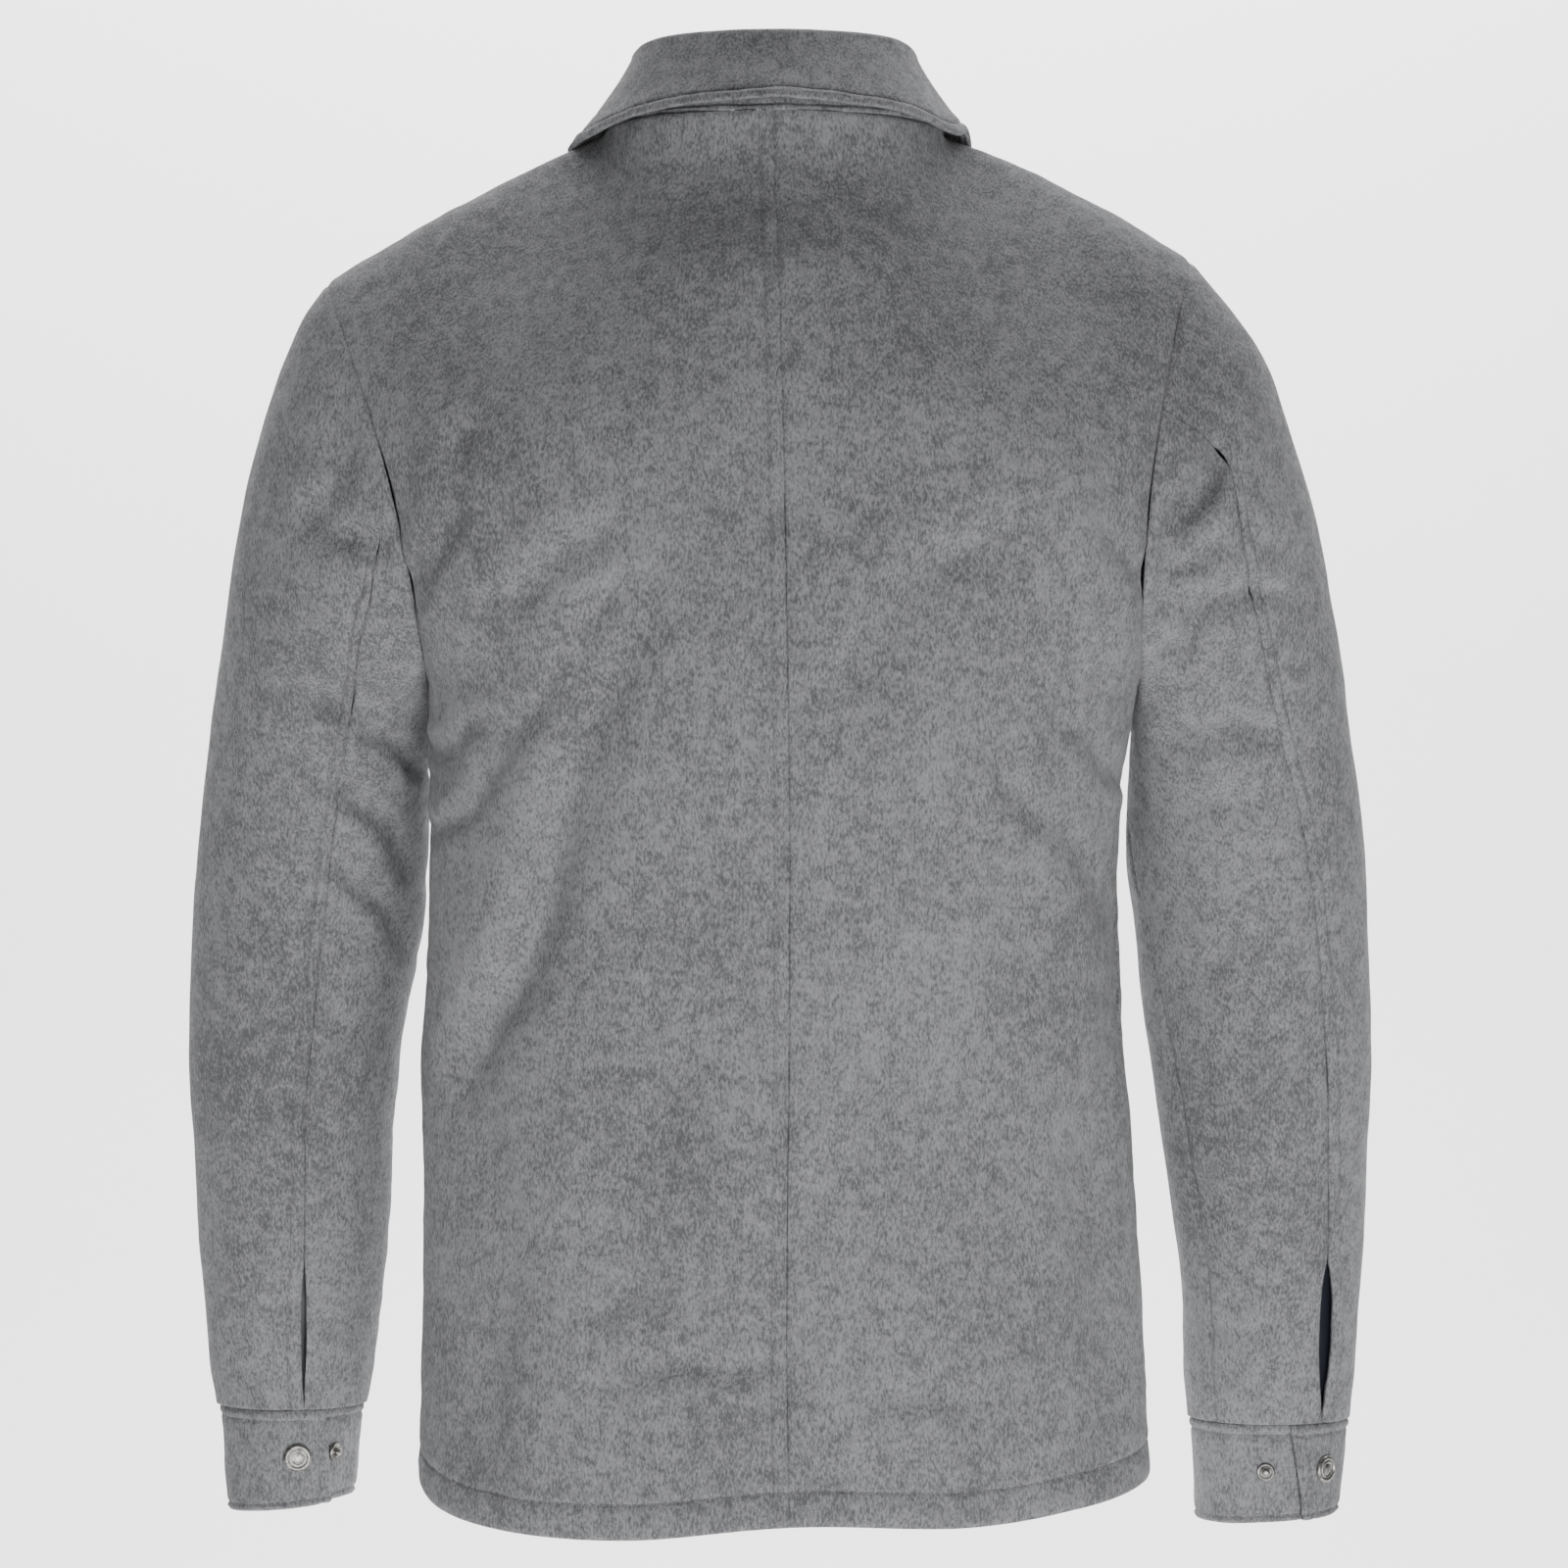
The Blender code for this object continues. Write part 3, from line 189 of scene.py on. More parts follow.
def smooth(value):
    """Ease from 0 to 1."""
    value = np.clip(value, 0.0, 1.0)
    return value * value * (3 - 2 * value)


def bezier(p0, p1, p2, p3, t):
    """Point on a cubic curve."""
    return p0 * (1 - t)**3 + 3 * p1 * t * (1 - t)**2 + 3 * p2 * t * t * (1 - t) + p3 * t**3


def unit(vector):
    """The vector at length one."""
    length = np.linalg.norm(vector, axis=-1, keepdims=True)
    return vector / np.maximum(length, 1e-12)


def body_at(height):
    """The body's named sizes at a height."""
    heights = column(BODY, BODY_COLUMNS, "height")
    return {name: through(heights, column(BODY, BODY_COLUMNS, name), height)
            for name in BODY_COLUMNS[1:]}


def hem_height(across, half):
    """Height of the hem on the back or front half, from the left side (-1) to the right (1)."""
    return through(column(HEM, HEM_COLUMNS, "across"), column(HEM, HEM_COLUMNS, half), across)


def fold_amount(x, z, folds):
    """How far the folds push the cloth out (+) or in (-) at x and z."""
    total = 0.0
    for x0, z0, x1, z1, width, depth in folds:
        run = np.array([x1 - x0, z1 - z0])
        along = ((x - x0) * run[0] + (z - z0) * run[1]) / run.dot(run)
        nearest = np.clip(along, 0.0, 1.0)
        distance = math.hypot(x - x0 - nearest * run[0], z - z0 - nearest * run[1])
        total += depth * math.exp(-(distance / width)**2)
    return total


def neck_point(angle):
    """Point of the collar seam. 0 degrees is the nape, -90 the left side, 180 the front."""
    turn = math.radians(angle)
    forward = (1 - math.cos(turn)) / 2
    lap_drop = LAP_DROP if abs(angle) > 180.0 else 0.0
    return np.array([NECK_MIDDLE_X + NECK_HALF_WIDTH * math.sin(turn),
                     NECK_MIDDLE_Y - NECK_HALF_DEPTH * math.cos(turn),
                     -NECK_FRONT_DROP * forward**4 - lap_drop])


LAP_ANGLE = math.degrees(math.asin(FRONT_LAP / 2 / NECK_HALF_WIDTH))


def neck_angles(half, sign):
    """Angles of the collar seam at a panel's columns, from its middle to the shoulder seam."""
    first = 0.0 if half == "back" else 180.0 + LAP_ANGLE
    return [sign * (first + (90.0 - first) * i / NECK_COLUMNS) for i in range(NECK_COLUMNS + 1)]


def sleeve_at(table, place, angle):
    """Point of a sleeve: place counts the table's rows, angle goes round from the outer side."""
    rows = np.arange(len(table), dtype=float)
    value = {name: through(rows, column(table, SLEEVE_COLUMNS, name), place)
             for name in SLEEVE_COLUMNS}
    outer = np.array([value["outer_x"], value["outer_y"], value["outer_z"]])
    inner = np.array([value["inner_x"], value["inner_y"], value["inner_z"]])
    turn = math.radians(angle)
    point = (outer + inner) / 2 + (outer - inner) / 2 * math.cos(turn)
    point[1] += value["depth"] * math.sin(turn)
    point[0] -= math.copysign(value["bow"], point[0]) * math.sin(turn)**2
    return point


def body_folds(grid, half):
    """Move a panel's points by the folds of its half, fading out towards its sewn side and top."""
    folds = BACK_FOLDS if half == "back" else FRONT_FOLDS
    outward = -1.0 if half == "back" else 1.0
    last_row = len(grid) - 1
    for j, row in enumerate(grid):
        for i, point in enumerate(row):
            fade = smooth((PANEL_COLUMNS - i) / FOLD_FADE) * smooth((last_row - j) / FOLD_FADE)
            point[1] += outward * fade * fold_amount(point[0], point[2], folds)


def armhole_point(sign, half, step):
    """Point of the armhole, from the armpit (step 0) to the shoulder tip (ARMHOLE_COLUMNS)."""
    table = LEFT_SLEEVE if sign < 0 else RIGHT_SLEEVE
    turn = 180.0 * (1 - step / ARMHOLE_COLUMNS)
    return sleeve_at(table, 0.0, -turn if half == "back" else turn)


def plan_row(sign, half, height):
    """A level row of a panel from its middle to the side seam, at a height."""
    size = body_at(height)
    side_x = size["left"] if sign < 0 else size["right"]
    middle_x = size["seam"]
    if half == "front":
        middle_x = size["seam"] - sign * FRONT_LAP / 2
    start = np.array([middle_x, size[half], height])
    end = np.array([side_x, size["side"], height])
    reach = np.array([0.60 * (side_x - middle_x), 0.0, 0.0])
    rise = np.array([0.0, 0.62 * (size[half] - size["side"]), 0.0])
    return [bezier(start, start + reach, end + rise, end, i / PANEL_COLUMNS)
            for i in range(PANEL_COLUMNS + 1)]


def panel_grid(sign, half):
    """Outer points of a front or back panel: rows from hem to shoulder, columns from its middle."""
    grid = []
    base = plan_row(sign, half, ARMPIT_HEIGHT)
    for j in range(LOWER_ROWS):
        lift = j / LOWER_ROWS
        row = []
        for i in range(PANEL_COLUMNS + 1):
            bottom = hem_height(sign * i / PANEL_COLUMNS, half)
            height = bottom + (ARMPIT_HEIGHT - bottom) * lift
            row.append(plan_row(sign, half, height)[i])
        grid.append(row)
    neck = [neck_point(angle) for angle in neck_angles(half, sign)]
    tip = armhole_point(sign, half, ARMHOLE_COLUMNS)
    across = PANEL_COLUMNS - NECK_COLUMNS
    seam = []
    for i in range(1, across + 1):
        t = i / across
        point = neck[-1] + (tip - neck[-1]) * t
        point[2] += SHOULDER_BULGE * 4 * t * (1 - t)
        seam.append(point)
    shoulder_way = unit(tip - neck[-1])
    side_way = np.array([0.0, math.copysign(1.0, base[-1][1] - base[0][1]), 0.0])
    upper = []
    for j in range(ARMHOLE_COLUMNS + 1):
        v = (1 - math.cos(math.pi * j / ARMHOLE_COLUMNS)) / 2
        height = ARMPIT_HEIGHT + (neck[0][2] - ARMPIT_HEIGHT) * v
        size = body_at(height)
        middle = np.array([size["seam"], size[half], height])
        if half == "front":
            middle[0] -= sign * FRONT_LAP / 2
        middle += (neck[0] - np.array([middle[0], size[half], neck[0][2]])) * smooth((v - 0.7) / 0.3)
        edge = armhole_point(sign, half, j)
        turned = smooth(j / ARMHOLE_COLUMNS)
        way = unit(side_way * (1 - turned) + shoulder_way * turned)
        low_reach = 0.62 * abs(edge[1] - middle[1])
        end_reach = low_reach + (0.35 * np.linalg.norm(tip - neck[0]) - low_reach) * turned
        start_reach = np.array([(0.60 - 0.25 * turned) * (edge[0] - middle[0]), 0.0, 0.0])
        upper.append([bezier(middle, middle + start_reach, edge - way * end_reach, edge,
                             i / PANEL_COLUMNS) for i in range(PANEL_COLUMNS + 1)])
    upper = np.array(upper)
    pull = np.array(neck + seam) - upper[-1]
    shares = [(1 - math.cos(math.pi * j / ARMHOLE_COLUMNS)) / 2 for j in range(ARMHOLE_COLUMNS + 1)]
    for j in range(ARMHOLE_COLUMNS, 0, -1):
        upper[j] += pull * smooth((shares[j] - 0.40) / 0.60)
        for _ in range(round(NECK_SOFTENING * (shares[j] - shares[j - 1]))):
            pull[1:-1] = (pull[:-2] + 2 * pull[1:-1] + pull[2:]) / 4
    grid.extend(upper)
    grid = np.array(grid)
    body_folds(grid, half)
    if half == "front" and sign > 0:
        tuck = WALL + FRONT_TUCK
        for row in grid:
            middle_x = row[0][0] + FRONT_LAP / 2
            for point in row:
                inside = 1 - smooth((point[0] - middle_x - FRONT_LAP / 2) / LAP_RAMP)
                point[1] -= tuck * inside
    return grid


def line_at(points, wanted):
    """The points of a smooth line at the distances that wanted gives for its length."""
    keys = np.arange(len(points), dtype=float)
    at = np.linspace(0.0, keys[-1], 4 * len(points))
    line = np.stack([through(keys, points[:, axis], at) for axis in range(3)], axis=1)
    run = np.append(0.0, np.cumsum(np.linalg.norm(np.diff(line, axis=0), axis=1)))
    return np.stack([np.interp(wanted(run[-1]), run, line[:, axis]) for axis in range(3)], axis=1)


def marks(near_start, near_end, between):
    """Distances along a line: some from its start, some from its end, and an even row between."""
    near_start = np.array(near_start)
    near_end = np.array(near_end)

    def wanted(length):
        middle = np.linspace(near_start[-1], length - near_end[-1], between + 2)[1:-1]
        return np.concatenate([near_start, middle, length - near_end[::-1]])
    return wanted


def refine(grid, down, across):
    """A finer grid on the same smooth surface, its rows and columns at marked distances."""
    columns = np.stack([line_at(grid[:, i], down) for i in range(grid.shape[1])], axis=1)
    return np.stack([line_at(row, across) for row in columns])


def ease_level(grid, height):
    """Smooth away the fold line that a grid has at one height, but not at its sewn side."""
    near = np.exp(-((grid[:, :, 2] - height) / 0.045)**2) * smooth(edge_distances(grid)["end"] / 0.05)
    for _ in range(40):
        level = (grid[:-2] + grid[2:]) / 2
        grid[1:-1] += 0.5 * near[1:-1, :, None] * (level - grid[1:-1])
    return grid


def edge_distances(grid):
    """Each point's distance along the cloth from the first and last column and row."""
    across = np.linalg.norm(np.diff(grid, axis=1), axis=2)
    down = np.linalg.norm(np.diff(grid, axis=0), axis=2)
    start = np.pad(np.cumsum(across, axis=1), ((0, 0), (1, 0)))
    bottom = np.pad(np.cumsum(down, axis=0), ((1, 0), (0, 0)))
    return {"start": start, "end": start[:, -1:] - start, "bottom": bottom,
            "top": bottom[-1:] - bottom}


def grid_normals(grid, facing):
    """Unit normals of a grid of points, facing +1 or -1."""
    down = np.gradient(grid, axis=0)
    along = np.gradient(grid, axis=1)
    return unit(np.cross(along, down)) * facing


def uneven(grid, size, seed):
    """Smooth noise from about -1 to 1 over a grid of points, with bumps of a size in metres."""
    shift = Vector((seed * 7.3, seed * 3.1, seed * 5.7))
    flat = grid.reshape(-1, 3) / size
    values = [noise.noise(Vector(point) + shift) for point in flat]
    return 1.6 * np.array(values).reshape(grid.shape[:2])


def creases(grid, lines):
    """Sharp creases and soft troughs: (x0, z0, x1, z1, width, depth) rows, a ridge beside each."""
    x = grid[:, :, 0]
    z = grid[:, :, 2]
    total = np.zeros(x.shape)
    for x0, z0, x1, z1, width, depth in lines:
        run = np.array([x1 - x0, z1 - z0])
        length = np.linalg.norm(run)
        run = run / length
        along = (x - x0) * run[0] + (z - z0) * run[1]
        aside = (x - x0) * run[1] - (z - z0) * run[0]
        aside = aside + 0.6 * width * np.sin(along / length * 5.0 + x0 * 90.0)
        beyond = np.maximum(np.maximum(-along, along - length), 0.0) / (0.35 * length)
        shape = np.exp(-(aside / width)**2) - 0.45 * np.exp(-((aside - 2.0 * width) / (1.3 * width))**2)
        total += depth * shape * np.exp(-beyond**2)
    return total


def seam(distance, grid, seed):
    """The dip where two pieces are sewn, with the small puckers that a seam pulls."""
    pucker = 0.00045 * uneven(grid, 0.012, seed) * np.exp(-(distance / 0.014)**2)
    return pucker - 0.0012 * np.exp(-(distance / 0.0022)**2)


def topstitch(distance, place, grid, seed):
    """A stitched line pulled into the cloth, and the doubled cloth standing proud beside it."""
    pull = 0.00090 + 0.00035 * uneven(grid, 0.006, seed)
    proud = 0.00050 * np.exp(-((distance - place * 0.5) / (place * 0.32))**2)
    pucker = 0.00035 * uneven(grid, 0.009, seed + 1) * np.exp(-((distance - place) / 0.008)**2)
    return proud + pucker - pull * np.exp(-((distance - place) / 0.0011)**2)


def raw_edge(distance):
    """The rounded shoulder of a free edge."""
    return -0.0010 * np.exp(-(distance / 0.0014)**2)


def new_node(material, kind, **values):
    """A shader node with some of its inputs set."""
    node = material.node_tree.nodes.new(kind)
    for name, value in values.items():
        node.inputs[name.replace("_", " ")].default_value = value
    return node


def wool_material(name, dark, light):
    """Brushed wool: short fibres in two greys, soft patches, and a raised nap."""
    made = bpy.data.materials.new(name)
    made.use_nodes = True
    links = made.node_tree.links
    shader = made.node_tree.nodes["Principled BSDF"]
    place = new_node(made, "ShaderNodeTexCoord")
    fibre_way = new_node(made, "ShaderNodeMapping", Scale=(1.0, 1.0, 0.42))
    fibres = new_node(made, "ShaderNodeTexNoise", Scale=900.0, Detail=4.0, Roughness=0.72)
    patches = new_node(made, "ShaderNodeTexNoise", Scale=120.0, Detail=3.0, Roughness=0.6)
    drift = new_node(made, "ShaderNodeTexNoise", Scale=9.0, Detail=2.0, Roughness=0.5)
    links.new(place.outputs["Object"], fibre_way.inputs["Vector"])
    links.new(fibre_way.outputs["Vector"], fibres.inputs["Vector"])
    links.new(place.outputs["Object"], patches.inputs["Vector"])
    links.new(place.outputs["Object"], drift.inputs["Vector"])
    patchy = made.node_tree.nodes.new("ShaderNodeMath")
    patchy.operation = "MULTIPLY_ADD"
    patchy.inputs[1].default_value = 0.35
    links.new(patches.outputs["Fac"], patchy.inputs[0])
    links.new(fibres.outputs["Fac"], patchy.inputs[2])
    drifting = made.node_tree.nodes.new("ShaderNodeMath")
    drifting.operation = "MULTIPLY_ADD"
    drifting.inputs[1].default_value = 0.22
    links.new(drift.outputs["Fac"], drifting.inputs[0])
    links.new(patchy.outputs["Value"], drifting.inputs[2])
    colours = made.node_tree.nodes.new("ShaderNodeValToRGB")
    colours.color_ramp.elements[0].position = 0.66
    colours.color_ramp.elements[0].color = (*dark, 1.0)
    colours.color_ramp.elements[1].position = 0.91
    colours.color_ramp.elements[1].color = (*light, 1.0)
    links.new(drifting.outputs["Value"], colours.inputs["Fac"])
    links.new(colours.outputs["Color"], shader.inputs["Base Color"])
    bump = new_node(made, "ShaderNodeBump", Strength=0.55, Distance=0.0007)
    links.new(patchy.outputs["Value"], bump.inputs["Height"])
    links.new(bump.outputs["Normal"], shader.inputs["Normal"])
    shader.inputs["Roughness"].default_value = 0.95
    shader.inputs["Specular IOR Level"].default_value = 0.15
    shader.inputs["Sheen Weight"].default_value = 0.10
    shader.inputs["Sheen Roughness"].default_value = 0.55
    made.diffuse_color = (*light, 1.0)
    return made


def smooth_object(name, bm, finish):
    """A smooth-shaded object made of a bmesh, which it frees."""
    mesh = bpy.data.meshes.new(name)
    bm.to_mesh(mesh)
    bm.free()
    mesh.shade_smooth()
    mesh.materials.append(finish)
    made = bpy.data.objects.new(name, mesh)
    bpy.context.collection.objects.link(made)
    return made


def cloth_piece(name, grid, facing, relief, wall, finish, node):
    """A piece of cloth: a grid laid on its surface, moved by its relief, with the cloth's wall."""
    normals = grid_normals(grid, facing)
    points = grid + normals * relief[:, :, None]
    rows, columns = grid.shape[:2]
    bm = bmesh.new()
    bmesh.ops.create_grid(bm, x_segments=columns - 1, y_segments=rows - 1, size=1)
    for vert, point in zip(bm.verts, points.reshape(-1, 3)):
        vert.co = point
    bmesh.ops.recalc_face_normals(bm, faces=bm.faces[:])
    bm.faces.ensure_lookup_table()
    bm.normal_update()
    middle = len(bm.faces) // 2
    first = middle // (columns - 1), middle % (columns - 1)
    if bm.faces[middle].normal.dot(Vector(normals[first])) < 0:
        bmesh.ops.reverse_faces(bm, faces=bm.faces[:])
    piece = smooth_object(name, bm, finish)
    thickness = piece.modifiers.new("wall", "SOLIDIFY")
    thickness.thickness = wall
    thickness.offset = -1.0
    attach(piece, "root")
    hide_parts(node)
    return points, normals


def stitches(name, lines, finish, pitch=0.0042, long=0.0032, thick=0.00055):
    """Short runs of sewing thread lying in the pulled line. lines holds (points, normals) pairs."""
    bm = bmesh.new()
    for points, normals in lines:
        run = np.append(0.0, np.cumsum(np.linalg.norm(np.diff(points, axis=0), axis=1)))
        places = np.arange(pitch, run[-1] - pitch / 2, pitch)
        middles = np.stack([np.interp(places, run, points[:, k]) for k in range(3)], axis=1)
        ahead = np.stack([np.interp(places + 0.001, run, points[:, k]) for k in range(3)], axis=1)
        ups = unit(np.stack([np.interp(places, run, normals[:, k]) for k in range(3)], axis=1))
        for middle, front, up in zip(middles, ahead, ups):
            way = unit(front - middle)
            side = unit(np.cross(up, way))
            up = np.cross(way, side)
            shape = np.column_stack([way * long / 2, side * thick / 2, up * thick / 2])
            matrix = Matrix(shape.tolist()).to_4x4()
            matrix.translation = Vector(middle + up * thick * 0.12)
            bmesh.ops.create_icosphere(bm, subdivisions=1, radius=1.0, matrix=matrix)
    piece = smooth_object(name, bm, finish)
    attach(piece, "root")


def thread_material():
    """Polyester thread dyed a little darker than the cloth."""
    made = bpy.data.materials.new("thread")
    made.use_nodes = True
    shader = made.node_tree.nodes["Principled BSDF"]
    place = new_node(made, "ShaderNodeTexCoord")
    twist = new_node(made, "ShaderNodeTexNoise", Scale=2500.0, Detail=1.0)
    colours = made.node_tree.nodes.new("ShaderNodeValToRGB")
    colours.color_ramp.elements[0].color = (0.10, 0.10, 0.105, 1.0)
    colours.color_ramp.elements[1].color = (0.20, 0.20, 0.21, 1.0)
    made.node_tree.links.new(place.outputs["Object"], twist.inputs["Vector"])
    made.node_tree.links.new(twist.outputs["Fac"], colours.inputs["Fac"])
    made.node_tree.links.new(colours.outputs["Color"], shader.inputs["Base Color"])
    shader.inputs["Roughness"].default_value = 0.6
    return made


wool = wool_material("wool_cloth", (0.125, 0.126, 0.132), (0.335, 0.338, 0.350))
thread = thread_material()

# Smaller creases than the folds above, on the back
BACK_CREASES = (
    (-0.094, -0.318, -0.146, -0.462, 0.0100, -0.0050),
    (-0.090, -0.262, -0.134, -0.318, 0.0085, -0.0030),
    (-0.100, -0.224, -0.138, -0.250, 0.0080, -0.0024),
    (-0.150, -0.345, -0.178, -0.372, 0.0060, -0.0028),
    (-0.158, -0.318, -0.182, -0.330, 0.0055, -0.0026),
    (-0.152, -0.500, -0.146, -0.660, 0.0130, -0.0040),
    (-0.058, -0.470, -0.075, -0.600, 0.0160, -0.0028),
    (0.098, -0.225, 0.036, -0.282, 0.0110, -0.0026),
    (0.150, -0.322, 0.178, -0.344, 0.0060, -0.0026),
    (0.124, -0.350, 0.168, -0.410, 0.0085, -0.0030),
    (0.168, -0.480, 0.158, -0.640, 0.0120, -0.0036),
    (0.062, -0.470, 0.020, -0.560, 0.0140, -0.0024),
    (0.160, -0.185, 0.178, -0.236, 0.0080, -0.0030),
    (-0.160, -0.175, -0.180, -0.232, 0.0080, -0.0030),
    (-0.062, -0.644, -0.018, -0.641, 0.0060, -0.0022),
    (-0.092, -0.613, -0.066, -0.607, 0.0070, -0.0020),
    (0.046, -0.655, 0.085, -0.662, 0.0080, -0.0018),
)
BY_TOPSTITCH = (0.0, 0.0009, 0.0020, 0.0034, 0.0052, 0.0066, 0.0073, 0.0080, 0.0087, 0.0095, 0.0115)
BY_SEAM = (0.0, 0.0010, 0.0022, 0.0038, 0.0060, 0.0090)
BY_HEM = (0.0, 0.0008, 0.0018, 0.0034, 0.0065, 0.0100, 0.0140, 0.0165, 0.0173, 0.0180, 0.0187, 0.0196,
          0.0220)
panel_lines = []
panel_points = {}


def panel_relief(grid, facing, seed, lines):
    """What the panels share: seams at the side and top, the hem, and cloth that isn't quite even."""
    away = edge_distances(grid)
    relief = creases(grid, lines)
    relief += 0.0008 * uneven(grid, 0.075, seed) + 0.00025 * uneven(grid, 0.022, seed + 2)
    relief += seam(away["end"], grid, seed + 3) + seam(away["top"], grid, seed + 4)
    relief += topstitch(away["bottom"], HEM_DEPTH, grid, seed + 5) + raw_edge(away["bottom"])
    return away, relief


def hem_line(points, normals):
    """The row of points where the hem is stitched."""
    row = BY_HEM.index(HEM_DEPTH)
    return points[row], normals[row]


for sign, side in ((-1, "left"), (1, "right")):
    grid = refine(panel_grid(sign, "back"), marks(BY_HEM, BY_SEAM, 168), marks(BY_TOPSTITCH, BY_SEAM, 58))
    grid = ease_level(grid, ARMPIT_HEIGHT)
    away, relief = panel_relief(grid, sign, 10 + sign, BACK_CREASES)
    relief += seam(away["start"], grid, 16 + sign)
    if side == "left":
        relief += topstitch(away["start"], TOPSTITCH, grid, 18)
    points, normals = cloth_piece(f"back_panel_{side}", grid, sign, relief, WALL, wool, f"back_{side}")
    panel_points[f"back_{side}"] = (points, sign)
    panel_lines.append(hem_line(points, normals))
    if side == "left":
        column_at = BY_TOPSTITCH.index(TOPSTITCH)
        panel_lines.append((points[:, column_at], normals[:, column_at]))

# The front is two more panels, the wearer's left lapped over the right and closed by snaps. Its edge
# is folded in and topstitched. Nothing of it shows in the photograph, so it is finished plainly.
FRONT_CREASES = (
    (0.148, -0.330, 0.178, -0.362, 0.0060, -0.0028),
    (0.102, -0.336, 0.150, -0.452, 0.0100, -0.0042),
    (-0.150, -0.325, -0.178, -0.350, 0.0065, -0.0028),
    (-0.104, -0.318, -0.150, -0.424, 0.0095, -0.0038),
    (0.050, -0.480, 0.070, -0.600, 0.0150, -0.0026),
    (-0.072, -0.470, -0.052, -0.590, 0.0140, -0.0024),
    (0.052, -0.640, 0.088, -0.646, 0.0090, -0.0020),
    (-0.095, -0.628, -0.055, -0.622, 0.0080, -0.0020),
    (0.160, -0.180, 0.178, -0.240, 0.0080, -0.0028),
    (-0.158, -0.172, -0.180, -0.236, 0.0080, -0.0028),
)
for sign, side in ((-1, "left"), (1, "right")):
    grid = refine(panel_grid(sign, "front"), marks(BY_HEM, BY_SEAM, 150), marks(BY_TOPSTITCH, BY_SEAM, 52))
    grid = ease_level(grid, ARMPIT_HEIGHT)
    away, relief = panel_relief(grid, -sign, 30 + sign, FRONT_CREASES)
    relief += topstitch(away["start"], TOPSTITCH, grid, 36 + sign) + raw_edge(away["start"])
    points, normals = cloth_piece(f"front_panel_{side}", grid, -sign, relief, WALL, wool,
                                  f"front_{side}")
    panel_points[f"front_{side}"] = (points, -sign)
    panel_lines.append(hem_line(points, normals))
    column_at = BY_TOPSTITCH.index(TOPSTITCH)
    panel_lines.append((points[:, column_at], normals[:, column_at]))
stitches("panel_stitches", panel_lines, thread)

# Each sleeve is cut in two, an upper piece round the outside of the arm and an under piece along its
# inside. Their back seam is topstitched on the upper piece and left open above the cuff as a vent.
UNDER_COLUMNS = 9 * FINER
SLEEVE_RINGS = 24 * FINER
SLEEVE_TOP_RINGS = 3 * FINER

# Where each vent opens, and its widest opening
VENTS = {"left": {"top": -0.604, "gap": 0.0030}, "right": {"top": -0.602, "gap": 0.0100}}

SLEEVE_FOLDS = (
    (-0.210, -0.140, -0.232, -0.175, 0.016, -0.0045),
    (-0.240, -0.205, -0.208, -0.226, 0.010, -0.0025),
    (-0.245, -0.304, -0.205, -0.308, 0.010, -0.0045),
    (-0.240, -0.262, -0.215, -0.280, 0.022, 0.0030),
    (-0.213, -0.318, -0.196, -0.335, 0.008, -0.0035),
    (-0.222, -0.356, -0.200, -0.388, 0.009, -0.0035),
    (-0.222, -0.404, -0.205, -0.430, 0.009, -0.0030),
    (0.220, -0.178, 0.196, -0.225, 0.009, -0.0065),
    (0.215, -0.225, 0.198, -0.245, 0.008, -0.0030),
    (0.238, -0.248, 0.194, -0.254, 0.008, -0.0035),
    (0.252, -0.202, 0.258, -0.212, 0.010, 0.0025),
    (0.252, -0.320, 0.208, -0.322, 0.008, -0.0035),
    (0.242, -0.356, 0.214, -0.358, 0.010, -0.0025),
)
SLEEVE_FRONT_FOLDS = (
    (-0.250, -0.330, -0.205, -0.350, 0.011, -0.0045),
    (-0.262, -0.372, -0.214, -0.400, 0.011, -0.0050),
    (-0.258, -0.430, -0.226, -0.446, 0.010, -0.0035),
    (-0.235, -0.150, -0.212, -0.205, 0.014, -0.0050),
    (0.250, -0.330, 0.208, -0.344, 0.011, -0.0050),
    (0.262, -0.378, 0.214, -0.398, 0.011, -0.0045),
    (0.255, -0.432, 0.224, -0.452, 0.010, -0.0035),
    (0.226, -0.140, 0.208, -0.200, 0.014, -0.0050),
)
